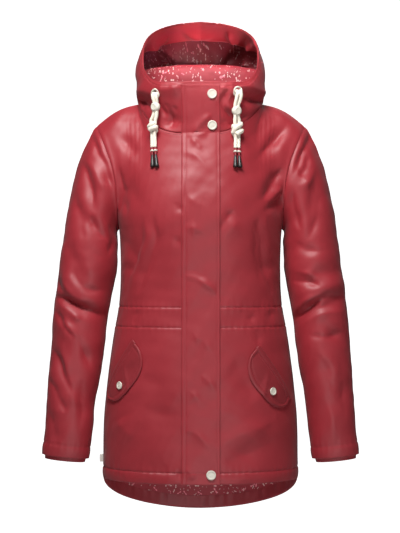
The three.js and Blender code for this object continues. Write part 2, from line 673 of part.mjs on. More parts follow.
const hoodGrid = new Shell(
  "hood",
  hoodLevels.map((level) => HOOD_TURNS.map((turn) => hoodAt(turn, level))),
  CLOTH_WALL,
  1,
);

// A piece cut from the hood's grid: some of its columns, at levels given for each column
function hoodPiece(name, from, to, levelsAt, inside, wall) {
  const every = HOOD_TURNS.map((turn, j) => ({ turn, j }));
  const columns = every.filter(({ turn }) => turn >= from && turn <= to);
  const place = (j, level, values) => {
    const row = level <= 1 ? level * STAND_ROWS : STAND_ROWS + (level - 1) * BAG_ROWS;
    const i = Math.min(Math.floor(row + 1e-6), hoodLevels.length - 2);
    return values[i][j].clone().lerp(values[i + 1][j], row - i);
  };
  const heights = columns.map(({ turn }) => levelsAt(turn));
  const rows = heights[0].map((_, k) => columns.map(({ j }, column) => {
    const point = place(j, heights[column][k], hoodGrid.points);
    return point.addScaledVector(place(j, heights[column][k], hoodGrid.normals).normalize(), -inside);
  }));
  const piece = new Shell(name, rows, wall, 1);
  piece.normals = heights[0].map((_, k) => columns.map(({ j }, column) => {
    return place(j, heights[column][k], hoodGrid.normals).normalize();
  }));
  return piece;
}

// How high the lining reaches: to the facing over the crown, and to the edge at the chin
function liningLevels(turn) {
  const angle = Math.min(turn, 360 - turn);
  const toFacing = ease(CHIN_LINING.angle, FACING_FROM_ANGLE - 5, angle);
  const top = mix(CHIN_LINING.level, FACING_LEVEL, toFacing);
  const bag = hoodLevels.filter((level) => level > 0.99 && level < FACING_LEVEL + 0.01);
  return bag.map((level) => mix(1, top, (level - 1) / (FACING_LEVEL - 1)));
}

// Placket: rows follow the fronts and the chin guard, columns lie at equal widths
function shareAt(x, level) {
  let low = 0;
  let high = 0.6;
  for (let i = 0; i < 40; i += 1) {
    const middle = (low + high) / 2;
    if (Math.abs(bodyPoint(middle, level, 1, false).x) < Math.abs(x)) low = middle;
    else high = middle;
  }
  return low;
}

function turnAt(x, level) {
  let low = 0;
  let high = 60;
  for (let i = 0; i < 40; i += 1) {
    const middle = (low + high) / 2;
    if (Math.abs(hoodPoint(middle, level, 1).x) < Math.abs(x)) low = middle;
    else high = middle;
  }
  return low;
}

function frontAt(x, level, raised) {
  const side = x < 0 ? -1 : 1;
  if (level <= 2) return foldedBody(shareAt(x, level), level, side, false, raised);
  const turn = turnAt(x, level - 2);
  return hoodAt(side > 0 ? turn : 360 - turn, level - 2, -raised);
}

// Level on the front at which a point has a height
function levelAt(x, z) {
  let low = 0;
  let high = 4;
  for (let i = 0; i < 40; i += 1) {
    const middle = (low + high) / 2;
    if (frontAt(x, middle, 0).z < z) low = middle;
    else high = middle;
  }
  return low;
}

function placketShell() {
  const top = levelAt(0, PLACKET.top);
  const guard = range(2 * STAND_ROWS).slice(1).map((step) => mix(2, top, step));
  const rows = [...levels, ...guard];
  const across = range(PLACKET_COLUMNS).map((step) => mix(PLACKET.left, PLACKET.right, step));
  const points = rows.map((level) => across.map((x) => frontAt(x, level, LAY_GAP + FLAP_WALL)));
  return new Shell("placket", points, FLAP_WALL, 1);
}

// Pocket flap and welt, laid out from the slanted upper edge: along it, and down from it
function pocketPoint(pocket, along, down, raised) {
  const slant = radians(FLAP.slant);
  const arc = pocket.arc + along * Math.cos(slant) - down * Math.sin(slant);
  const z = pocket.z - along * Math.sin(slant) - down * Math.cos(slant);
  const level = (z - HEM_Z) / (UNDERARM_Z - HEM_Z);
  return foldedBody(arc / frontArc(z), level, pocket.side, false, raised);
}

function flapShell(pocket) {
  const depth = (share) => FLAP.drop * Math.sqrt(1 - Math.abs(2 * share - 1) ** FLAP.bulge);
  const place = (share, step) => {
    const inset = mix(FLAP.inset, 1 - FLAP.inset, share);
    return pocketPoint(pocket, inset * FLAP.length, step * depth(inset), LAY_GAP + FLAP_WALL);
  };
  const row = (step) => range(FLAP_COLUMNS).map((share) => place(share, 1 - step));
  const points = range(FLAP_ROWS).map(row);
  return new Shell(`pocket_flap_${pocket.name}`, points, FLAP_WALL, pocket.side);
}

function weltShell(pocket) {
  const raised = LAY_GAP + FLAP_WALL;
  const place = (share, step) => {
    const down = mix(-WELT.gap, -WELT.gap - WELT.width, step);
    return pocketPoint(pocket, share * FLAP.length, down, raised);
  };
  const points = range(1).map((step) => range(FLAP_COLUMNS).map((share) => place(share, step)));
  return new Shell(`pocket_welt_${pocket.name}`, points, FLAP_WALL, pocket.side);
}

// Layers inside the back: share across, and height from the hem
function insideBack(share, above, inside) {
  const side = share < 0 ? -1 : 1;
  const reach = Math.abs(share);
  const hem = HEM_Z - TAIL_DROP * (1 - reach * reach);
  const level = above / (UNDERARM_Z - hem);
  return foldedBody(reach, level, side, true, -inside);
}

function hemFacingShell() {
  const columns = 4 * GATHERS;
  const across = range(columns).map((step) => mix(-TAIL_REACH.facing, TAIL_REACH.facing, step));
  const wave = (column) => GATHER_HEIGHT * (0.5 + 0.5 * Math.cos((column * Math.PI) / 2));
  const rows = [{ up: 1.5, gathered: 0.25 }, { up: FACING_HEIGHT, gathered: 1 }];
  const place = (row, share, column) => {
    const inside = LAYER_STEP + TAIL_LIFT.facing + wave(column) * row.gathered;
    return insideBack(share, row.up, inside);
  };
  const points = rows.map((row) => across.map((share, column) => place(row, share, column)));
  return new Shell("hem_facing", points, LINING_WALL, -1);
}

function backLiningShell() {
  const across = range(LINING_COLUMNS).map((step) => mix(-TAIL_REACH.lining, TAIL_REACH.lining, step));
  const place = (share, step) => {
    const hem = HEM_Z - TAIL_DROP * (1 - share * share);
    const above = mix(FACING_HEIGHT + LINING_GAP, LINING_TOP_Z - hem, step);
    return insideBack(share, above, LAYER_STEP + TAIL_LIFT.lining);
  };
  const points = range(LINING_ROWS).map((step) => across.map((share) => place(share, step)));
  return new Shell("back_lining", points, LINING_WALL, -1);
}

// A turned trim from its profile of radius and height
function turned(profile, segments) {
  const points = profile.map(([radius, height]) => new THREE.Vector2(radius, height));
  const geometry = new THREE.LatheGeometry(points, segments);
  return geometry.rotateX(Math.PI / 2);
}

function snapGeometry(size) {
  const { radius, height } = size;
  return turned([
    [0, 0],
    [radius * 0.93, 0],
    [radius, height * 0.45],
    [radius * 0.86, height * 0.9],
    [radius * 0.5, height],
    [0, height * 0.92],
  ], SNAP_SIDES);
}

function eyeletGeometry() {
  const { radius, hole, height } = EYELET;
  return turned([
    [hole, 0],
    [radius, 0],
    [radius * 0.97, height * 0.6],
    [mix(hole, radius, 0.5), height],
    [hole, height * 0.6],
    [hole, 0],
  ], EYELET_SIDES);
}

// A strand's tube through the route's points, to one side of the middle
function strandGeometry(route, turn, hand, steps) {
  const across = vector(Math.cos(radians(turn)), Math.sin(radians(turn)), 0);
  const points = route.map(({ x, y, z, spread }) => vector(x, y, z).addScaledVector(across, hand * spread));
  const round = new THREE.Shape();
  for (let i = 0; i < STRAND_SIDES; i += 1) {
    const angle = (i / STRAND_SIDES) * 2 * Math.PI;
    const corner = [STRAND_RADIUS * Math.cos(angle), STRAND_RADIUS * Math.sin(angle)];
    if (i === 0) round.moveTo(...corner);
    else round.lineTo(...corner);
  }
  const extrudePath = new THREE.CatmullRomCurve3(points);
  return new THREE.ExtrudeGeometry(round, { steps, bevelEnabled: false, extrudePath });
}

// Whipped end and tip as one turned piece, from its top to its rounded end
function tipMesh(cord, hand) {
  const across = vector(Math.cos(radians(cord.turn)), Math.sin(radians(cord.turn)), 0);
  const [top, end] = cord.tip.map(({ x, y, z, spread }) => {
    return vector(x, y, z).addScaledVector(across, hand * spread);
  });
  const length = top.distanceTo(end);
  const { radius, endRadius, collar } = TIP;
  const geometry = turned([
    [0, 0],
    [radius, 0],
    [radius, collar],
    [endRadius, collar + 4],
    [endRadius, length - 4],
    [endRadius * 0.7, length - 1],
    [0, length],
  ], 10);
  return seated(geometry, top, end.clone().sub(top).normalize());
}

// The knot's outer form: a rounded mass with a waist between its two wraps
function knotGeometry({ wide, deep, high }) {
  const geometry = new THREE.SphereGeometry(1, 14, 10);
  const spots = geometry.attributes.position;
  for (let i = 0; i < spots.count; i += 1) {
    const spot = vector().fromBufferAttribute(spots, i);
    const waist = 1 - 0.13 * Math.exp(-((spot.y / 0.24) ** 2));
    spots.setXYZ(i, spot.x * wide * waist, spot.z * deep * waist, spot.y * high);
  }
  return closedGeometry(pointsOf(geometry), [...geometry.index.array]);
}

function pointsOf(geometry) {
  const spots = geometry.attributes.position;
  return Array.from({ length: spots.count }, (_, i) => vector().fromBufferAttribute(spots, i));
}

function solidOf(geometry) {
  const bare = geometry.clone();
  bare.deleteAttribute("normal");
  bare.deleteAttribute("uv");
  const merged = mergeVertices(bare);
  const vertProperties = new Float32Array(merged.attributes.position.array);
  const mesh = new wasm.Mesh({ numProp: 3, vertProperties, triVerts: merged.index.array });
  return new wasm.Manifold(mesh);
}

// Cord stop: a rounded disc, bored downwards for the two strands
function stopGeometry() {
  const ball = new THREE.SphereGeometry(1, STOP.sides, STOP.rings);
  ball.scale(STOP.radius, STOP.radius, STOP.deep).rotateX(Math.PI / 2);
  let solid = solidOf(ball);
  for (const hand of [-1, 1]) {
    const bore = new THREE.CylinderGeometry(STOP.bore, STOP.bore, 3 * STOP.radius, 10);
    bore.rotateX(Math.PI / 2).translate(hand * STOP.spread, 0, 0);
    solid = solid.subtract(solidOf(bore));
  }
  const mesh = solid.getMesh();
  const points = [];
  for (let i = 0; i < mesh.vertProperties.length; i += mesh.numProp) {
    points.push(vector(...mesh.vertProperties.slice(i, i + 3)));
  }
  return closedGeometry(points, [...mesh.triVerts]);
}

// Places a turned trim on a surface point, facing along the normal there
function seated(geometry, point, normal) {
  const mesh = new THREE.Mesh(geometry);
  mesh.position.copy(point);
  mesh.quaternion.setFromUnitVectors(vector(0, 0, 1), normal);
  return mesh;
}

function onFront(geometry, x, z, raised) {
  const level = levelAt(x, z);
  const point = frontAt(x, level, raised);
  return seated(geometry, point, point.clone().sub(frontAt(x, level, 0)).normalize());
}

function onPocket(geometry, pocket, raised) {
  const point = pocketPoint(pocket, FLAP.snapAlong, FLAP.snapDown, raised);
  const below = pocketPoint(pocket, FLAP.snapAlong, FLAP.snapDown, 0);
  return seated(geometry, point, point.clone().sub(below).normalize());
}

const MATERIALS = {
  cloth: { color: 0xa02d36, roughness: 0.42, metalness: 0 },
  lining: { color: 0xb83a48, roughness: 0.8, metalness: 0 },
  trim: { color: 0xf4efe2, roughness: 0.45, metalness: 0 },
  cord: { color: 0xf2ead8, roughness: 0.9, metalness: 0 },
  tip: { color: 0x17120f, roughness: 0.5, metalness: 0 },
};
const paint = (name) => new THREE.MeshStandardMaterial({ ...MATERIALS[name], side: THREE.DoubleSide });

const raincoat = new THREE.Group();

function addShell(shell, material) {
  const mesh = new THREE.Mesh(shell.geometry(), paint(material));
  mesh.name = shell.name;
  raincoat.add(mesh);
}

// Outer cloth, with its seams joined before each edge is drawn back
const half = SEAM_GAP / 2;
const sides = [
  { name: "l", side: 1 },
  { name: "r", side: -1 },
];
const fronts = sides.map(({ name, side }) => frontShell(`front_${name}`, side));
const back = backShell();
const sleeves = sides.map(({ name, side }) => sleeveShell(`sleeve_${name}`, side));
const wholeHood = () => hoodLevels;
const otherSeam = 360 - HOOD_SEAM_ANGLE;
const hoodSides = [
  hoodPiece("hood_side_l", 0, HOOD_SEAM_ANGLE, wholeHood, 0, CLOTH_WALL),
  hoodPiece("hood_side_r", otherSeam, 360, wholeHood, 0, CLOTH_WALL),
];
const hoodCentre = hoodPiece("hood_centre", HOOD_SEAM_ANGLE, otherSeam, wholeHood, 0, CLOTH_WALL);
joinSeams([...fronts, back, ...sleeves, ...hoodSides, hoodCentre]);
for (const front of fronts) front.pullBack({ left: half, right: half, top: half });
back.pullBack({ left: half, right: half, top: half });
for (const sleeve of sleeves) sleeve.pullBack({ bottom: half });
for (const hood of [...hoodSides, hoodCentre]) hood.pullBack({ bottom: half, left: half, right: half });
for (const shell of [...fronts, back, ...sleeves, ...hoodSides, hoodCentre]) addShell(shell, "cloth");
for (const { name, side } of sides) addShell(cuffShell(`cuff_${name}`, side), "cloth");

// Layers inside the hood and the tail
const stand = hoodLevels.filter((level) => level < 1.01);
const standLevels = () => stand.map((level) => Math.max(level, LOWEST_COLLAR_LEVEL));
const facingLevels = () => hoodLevels.filter((level) => level > FACING_LEVEL - 0.01);
const insideHood = (name, start, levelsAt) => {
  return hoodPiece(name, start, 360 - start, levelsAt, LAYER_STEP, LINING_WALL);
};
const hoodFacing = insideHood("hood_facing", FACING_FROM_ANGLE, facingLevels);
const hoodLining = insideHood("hood_lining", 0, liningLevels);
const collarLining = insideHood("collar_lining", 0, standLevels);
const chinEdges = { left: CHIN_INSET, right: CHIN_INSET };
addShell(hoodFacing.pullBack({ bottom: half, top: RIM_INSET }), "cloth");
addShell(hoodLining.pullBack({ top: half, bottom: ROLL_GAP, ...chinEdges }), "lining");
addShell(collarLining.pullBack({ top: ROLL_GAP, ...chinEdges }), "lining");
addShell(hemFacingShell(), "cloth");
addShell(backLiningShell(), "lining");

// Placket, pocket flaps and welts
addShell(placketShell(), "cloth");
for (const pocket of POCKETS) {
  addShell(flapShell(pocket), "cloth");
  addShell(weltShell(pocket), "cloth");
}

// Snaps, eyelets and the blank tab
function addTrim(mesh, name, material) {
  mesh.name = name;
  mesh.material = paint(material);
  raincoat.add(mesh);
}

const onFlap = LAY_GAP + FLAP_WALL + SEAT_GAP;
for (const { name, x, z } of PLACKET_SNAPS) {
  addTrim(onFront(snapGeometry(SNAP), x, z, onFlap), name, "trim");
}
for (const pocket of POCKETS) {
  addTrim(onPocket(snapGeometry(POCKET_SNAP), pocket, onFlap), `snap_pocket_${pocket.name}`, "trim");
}
for (const { name, x, z } of EYELETS) {
  addTrim(onFront(eyeletGeometry(), x, z, SEAT_GAP), `eyelet_${name}`, "trim");
}
const tab = new THREE.Mesh(new THREE.BoxGeometry(TAB.out, TAB.thick, TAB.height));
tab.position.set(sectionPoint(TAB.z, 1, -1, false).x - SEAM_GAP - TAB.out / 2, 0, TAB.z);
addTrim(tab, "side_tab", "trim");

// Drawcord: two strands a side, through a stop and into a knot, with whipped ends below it
for (const cord of CORDS) {
  const stop = new THREE.Mesh(stopGeometry());
  stop.position.set(cord.stop.x, cord.stop.y, cord.stop.z);
  stop.rotation.z = radians(cord.turn);
  addTrim(stop, `cord_stop_${cord.name}`, "trim");
  const knot = new THREE.Mesh(knotGeometry(cord.knot));
  knot.position.set(cord.knot.x, cord.knot.y, cord.knot.z);
  knot.rotation.z = radians(cord.turn);
  addTrim(knot, `knot_${cord.name}`, "cord");
  for (const [strand, hand] of [["a", -1], ["b", 1]]) {
    const label = `${cord.name}_${strand}`;
    const upper = new THREE.Mesh(strandGeometry(cord.upper, cord.turn, hand, UPPER_STEPS));
    const lower = new THREE.Mesh(strandGeometry(cord.lower, cord.turn, hand, LOWER_STEPS));
    addTrim(upper, `cord_upper_${label}`, "cord");
    addTrim(lower, `cord_lower_${label}`, "cord");
    addTrim(tipMesh(cord, hand), `cord_tip_${label}`, "tip");
  }
}

export default raincoat;
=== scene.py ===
"""A hooded raincoat, filled out as worn: cloth, linings, trims and drawcord round a fixed frame."""
import math

import bpy
import numpy as np
from bpy.props import FloatProperty, FloatVectorProperty, PointerProperty
from bpy.types import Operator, Panel, PropertyGroup
from mathutils import Matrix, Vector


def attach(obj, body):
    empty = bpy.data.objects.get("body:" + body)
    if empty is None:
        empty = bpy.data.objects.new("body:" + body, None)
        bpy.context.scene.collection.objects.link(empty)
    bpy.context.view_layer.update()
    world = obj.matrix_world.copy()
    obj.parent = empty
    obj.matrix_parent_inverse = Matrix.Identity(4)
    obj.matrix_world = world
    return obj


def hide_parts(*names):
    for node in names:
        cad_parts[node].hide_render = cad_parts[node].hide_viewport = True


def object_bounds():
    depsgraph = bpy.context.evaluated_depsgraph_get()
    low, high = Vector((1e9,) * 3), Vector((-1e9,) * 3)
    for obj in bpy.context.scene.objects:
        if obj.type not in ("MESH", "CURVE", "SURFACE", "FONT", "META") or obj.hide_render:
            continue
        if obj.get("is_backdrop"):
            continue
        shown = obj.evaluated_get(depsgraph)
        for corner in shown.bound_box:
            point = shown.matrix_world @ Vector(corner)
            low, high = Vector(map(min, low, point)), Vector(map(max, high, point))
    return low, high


bl_info = {
    "name": "Raincoat",
    "version": (1, 0, 0),
    "blender": (4, 5, 0),
    "location": "3D View > Sidebar > Raincoat",
    "description": "Builds the cloth, trims and drawcord of a hooded raincoat",
    "category": "Object",
}

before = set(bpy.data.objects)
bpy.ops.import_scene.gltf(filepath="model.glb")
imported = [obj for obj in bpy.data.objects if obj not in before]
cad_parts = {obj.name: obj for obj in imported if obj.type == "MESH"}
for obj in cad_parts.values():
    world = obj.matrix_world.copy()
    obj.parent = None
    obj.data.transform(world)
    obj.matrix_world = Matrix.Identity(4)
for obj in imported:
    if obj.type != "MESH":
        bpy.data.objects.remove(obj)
CAD_BOX = [list(corner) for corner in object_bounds()]
BODY = "root"
MM = 0.001


def table(columns, *rows):
    """Rows of named values, the names in one string."""
    return [dict(zip(columns.split(), row)) for row in rows]


# Walls and layers, in millimetres
CLOTH_WALL = 1.6
LINING_WALL = 1.0
FLAP_WALL = 2.2
SEAM_GAP = 0.3
LAY_GAP = 0.75
SEAT_GAP = 0.6
LAYER_STEP = CLOTH_WALL + 0.4

# Body sections below the armholes: half width and depth before and behind the side seam
ROUNDNESS = 2.2
UNDERARM_Z = -222
BODY_SECTIONS = table(
    "z half front back",
    (-775, 185, 148, 145),
    (-690, 184.5, 147, 143),
    (-583, 183, 143, 136),
    (-507, 176, 137, 128),
    (-431, 166, 130, 119),
    (-360, 154, 125, 112),
    (-298, 151, 126, 113),
    (-241, 152.5, 131, 118),
    (-222, 154, 133, 121),
    (-190, 157, 134, 123),
)
HEM_Z = -689
TAIL_DROP = 79

# Neck seam, as an oval that rises to the shoulders
NECK = {"half": 118, "y": 3, "front": 98, "back": 80, "front_z": -45, "back_z": 2, "side_z": 17}
NECK_RISE_LEFT = 2.7
NECK_RISE_RIGHT = 4
NECK_SHARE = 0.62
SHOULDER_EASE = {"spread": 0.15, "reach": 0.25, "fade": 0.2}
SHOULDER_TIP = {"x": 199, "y": 4, "z": -26}
SHOULDER_ARCH = 9

# Armhole seam from the underarm to the shoulder tip
ARMHOLE_FRONT = table(
    "share x y z",
    (0, 154, 0, -222),
    (1 / 6, 155.5, -24, -206),
    (2 / 6, 156, -43, -172),
    (3 / 6, 160, -51, -132),
    (4 / 6, 170, -45, -93),
    (5 / 6, 187, -26, -51),
    (1, 199, 4, -26),
)
ARMHOLE_BACK = table(
    "share x y z",
    (0, 154, 0, -222),
    (1 / 6, 155.5, 25, -205),
    (2 / 6, 156.5, 45, -171),
    (3 / 6, 161, 54, -131),
    (4 / 6, 171, 49, -92),
    (5 / 6, 187, 32, -50),
    (1, 199, 4, -26),
)

# Sleeve sections from the sleeve end to the upper arm
SLEEVE_SECTIONS = table(
    "z x y half deep",
    (-652, 255, -27, 44.5, 34),
    (-593, 248, -24, 45.5, 40),
    (-541, 244, -20, 46, 45),
    (-500, 239, -17, 48, 49),
    (-431, 231, -12, 51, 54),
    (-386, 227.5, -9, 51.5, 56),
    (-340, 220.5, -7, 53.5, 58),
    (-290, 213, -5, 54, 60),
    (-248, 208.5, -2, 52.5, 60),
)
CAP_END_Z = -248
SLEEVE_END_Z = -648
CUFF_SECTIONS = table(
    "down inset",
    (-26, 2.1),
    (-12, 3.4),
    (8, 6.8),
)
CUFF_LEAN = 0.12
MOST_SLEEVE_SLOPE = 0.3

# Hood stations, every 22.5 degrees of the neck seam from the chin to the centre back: the fold
# where the stand rolls over, the rim, and how the cloth leaves each line
HOOD_STEP = 22.5
HOOD = table(
    "fold_x fold_y fold_z rim_x rim_y rim_z",
    (0, -99, 5, 0, -100, 50),
    (51, -90, 5, 57, -92, 50),
    (90, -66, 18, 88, -70, 55),
    (115, -32, 42, 106, -40, 78),
    (122, 6, 62, 110, -16, 108),
    (113, 46, 80, 105, 18, 140),
    (85, 78, 92, 84, 47, 163),
    (45, 94, 98, 47, 65, 177),
    (0, 99, 100, 0, 72, 183),
)
HOOD_PULL = table(
    "roll_y roll_z bag_x bag_y bag_z end_x end_y end_z",
    (0, 50, 0, 0, 45, 0, 0, 45),
    (0, 48, 2, 0, 45, 6, 0, 44),
    (0, 40, 6, 0, 40, -14, -4, 36),
    (4, 40, 6, 10, 40, -28, -20, 36),
    (10, 45, 12, 30, 50, -40, -60, 50),
    (30, 45, 24, 120, 20, -40, -150, 60),
    (55, 30, 16, 260, -70, -20, -290, 70),
    (70, 12, 6, 350, -150, 0, -380, 80),
    (75, 6, 0, 380, -190, 0, -410, 84),
)
HOOD_SEAM_ANGLE = 165
FACING_LEVEL = 1 + 6 / 9
FACING_LEVEL_BACK = 1.79
FACING_FROM_ANGLE = 75
CHIN_LINING = {"level": 1.94, "angle": 35}

# Placket, pocket flaps and the layers inside the tail
PLACKET = {"left": -34, "right": 34.5, "top": 44.6}
POCKETS = table(
    "name side arc z",
    ("l", 1, 104, -444),
    ("r", -1, 127, -434),
)
FLAP = {"length": 130, "drop": 46, "slant": 48.5, "bulge": 2.8, "along": 82, "down": 26}
WELT = {"width": 9, "gap": 0.4}
FACING_HEIGHT = 24
GATHERS = 28
GATHER_HEIGHT = 1.1
LINING_TOP_Z = -404

# Trims
SNAP = {"radius": 8.9, "height": 3.2}
POCKET_SNAP = {"radius": 7.2, "height": 2.8}
PLACKET_SNAPS = table(
    "name x z",
    ("snap_top", 20.9, 27.6),
    ("snap_neck", 21.2, -30),
    ("snap_hem", 19.1, -672),
)
EYELETS = table(
    "name x z",
    ("l", 68.1, 32.9),
    ("r", -81.7, 29.4),
)
EYELET = {"radius": 10.3, "hole": 6.7, "height": 2.4}
STRAND_RADIUS = 3.3
KNOT_STRAND = 4.8
CORD_SIDES = 20
STOP = {"radius": 9.8, "deep": 7.2}
TIP = {"radius": 3.2, "end": 3.8, "collar": 14.5}
TAB = {"out": 6.5, "thick": 0.9, "height": 14, "z": -655}

# Cord routes: the middle between a side's two strands, and each strand's distance from it
CORDS = [
    {
        "name": "l",
        "turn": 28,
        "upper": table(
            "x y z spread",
            (68.3, -85.9, 33.3, 3.15),
            (70.4, -89.8, 32.9, 3.2),
            (71.5, -93.0, 29.0, 3.8),
            (71.0, -93.8, 22.5, 4.3),
            (69.0, -93.2, 14.5, 3.8),
            (67.0, -92.2, 7.6, 3.15),
            (67.0, -92.0, -3.4, 3.15),
            (67.0, -91.8, -14.0, 3.3),
            (67.6, -91.4, -23.4, 4.4),
        ),
        "stop": {"x": 67.0, "y": -92.0, "z": -3.4},
        "knot": {"x": 68.2, "y": -91.4, "z": -38.8, "wide": 13.4, "deep": 7.8, "high": 14.4},
        "lower": table(
            "x y z spread",
            (67.8, -92.0, -54.2, 3.2),
            (67.6, -94.0, -64.0, 3.2),
            (67.6, -96.8, -73.4, 3.4),
        ),
        "tip": table(
            "x y z spread",
            (67.6, -96.9, -73.8, 3.4),
            (68.6, -109.6, -109.0, 5.0),
        ),
    },
    {
        "name": "r",
        "turn": -37,
        "upper": table(
            "x y z spread",
            (-81.9, -76.0, 29.8, 3.15),
            (-84.4, -79.5, 29.4, 3.2),
            (-85.8, -82.4, 26.0, 3.5),
            (-85.2, -83.2, 21.0, 3.6),
            (-83.8, -82.6, 15.6, 3.15),
            (-83.8, -82.2, 4.5, 3.15),
            (-83.9, -81.9, -6.4, 3.3),
            (-85.8, -81.3, -14.4, 4.3),
            (-88.0, -80.8, -22.0, 5.0),
        ),
        "stop": {"x": -83.8, "y": -82.2, "z": 4.5},
        "knot": {"x": -88.6, "y": -80.8, "z": -33.4, "wide": 12.8, "deep": 7.8, "high": 10.2},
        "lower": table(
            "x y z spread",
            (-87.8, -80.8, -44.6, 3.2),
            (-87.4, -82.4, -57.0, 3.2),
            (-87.0, -85.6, -71.0, 3.4),
        ),
        "tip": table(
            "x y z spread",
            (-87.0, -85.8, -71.4, 3.4),
            (-84.6, -98.8, -107.8, 5.0),
        ),
    },
]
STRANDS = [("a", -1), ("b", 1)]

# Soft folds, placed in the front or back view, as the solids have them
FOLDS = table(
    "face x0 z0 x1 z1 wide high",
    ("front", -154, -42, -118, -84, 12, -4),
    ("front", 161, -26, 114, -84, 12, -5),
    ("front", 145, -108, 112, -166, 12, -3.5),
    ("front", -143, -130, -112, -178, 14, -3),
    ("front", 142, -285, 112, -302, 12, -3),
    ("front", -146, -294, -116, -300, 11, -3),
    ("front", -211, -128, -199, -194, 11, -4.5),
    ("front", -224, -188, -186, -242, 12, -4.5),
    ("front", -252, -246, -214, -326, 13, -4.5),
    ("front", -266, -300, -190, -362, 13, 4),
    ("front", -270, -352, -182, -386, 12, -6.5),
    ("front", -276, -378, -236, -428, 12, 3.5),
    ("front", -282, -441, -228, -530, 14, -4),
    ("front", 188, -60, 196, -140, 12, 3.5),
    ("front", 214, -130, 206, -210, 12, -4),
    ("front", 181, -312, 262, -300, 12, -4),
    ("front", 184, -340, 266, -326, 11, 3.5),
    ("front", 180, -390, 268, -350, 12, -6.5),
    ("front", 232, -400, 276, -440, 12, -4),
    ("front", 212, -440, 262, -500, 14, 3),
    ("back", -120, -70, -100, -170, 15, -3.5),
    ("back", 122, -64, 98, -160, 15, -3.5),
    ("back", -132, -300, -70, -318, 13, -3),
    ("back", 134, -288, 80, -306, 13, -3),
    ("back", -258, -330, -196, -352, 12, -4.5),
    ("back", 260, -318, 194, -344, 12, -4.5),
    ("back", -226, -130, -200, -214, 13, -4),
    ("back", 228, -136, 200, -220, 13, -4),
    ("back", -270, -440, -226, -500, 13, -3.5),
    ("back", 272, -452, 228, -512, 13, -3.5),
)

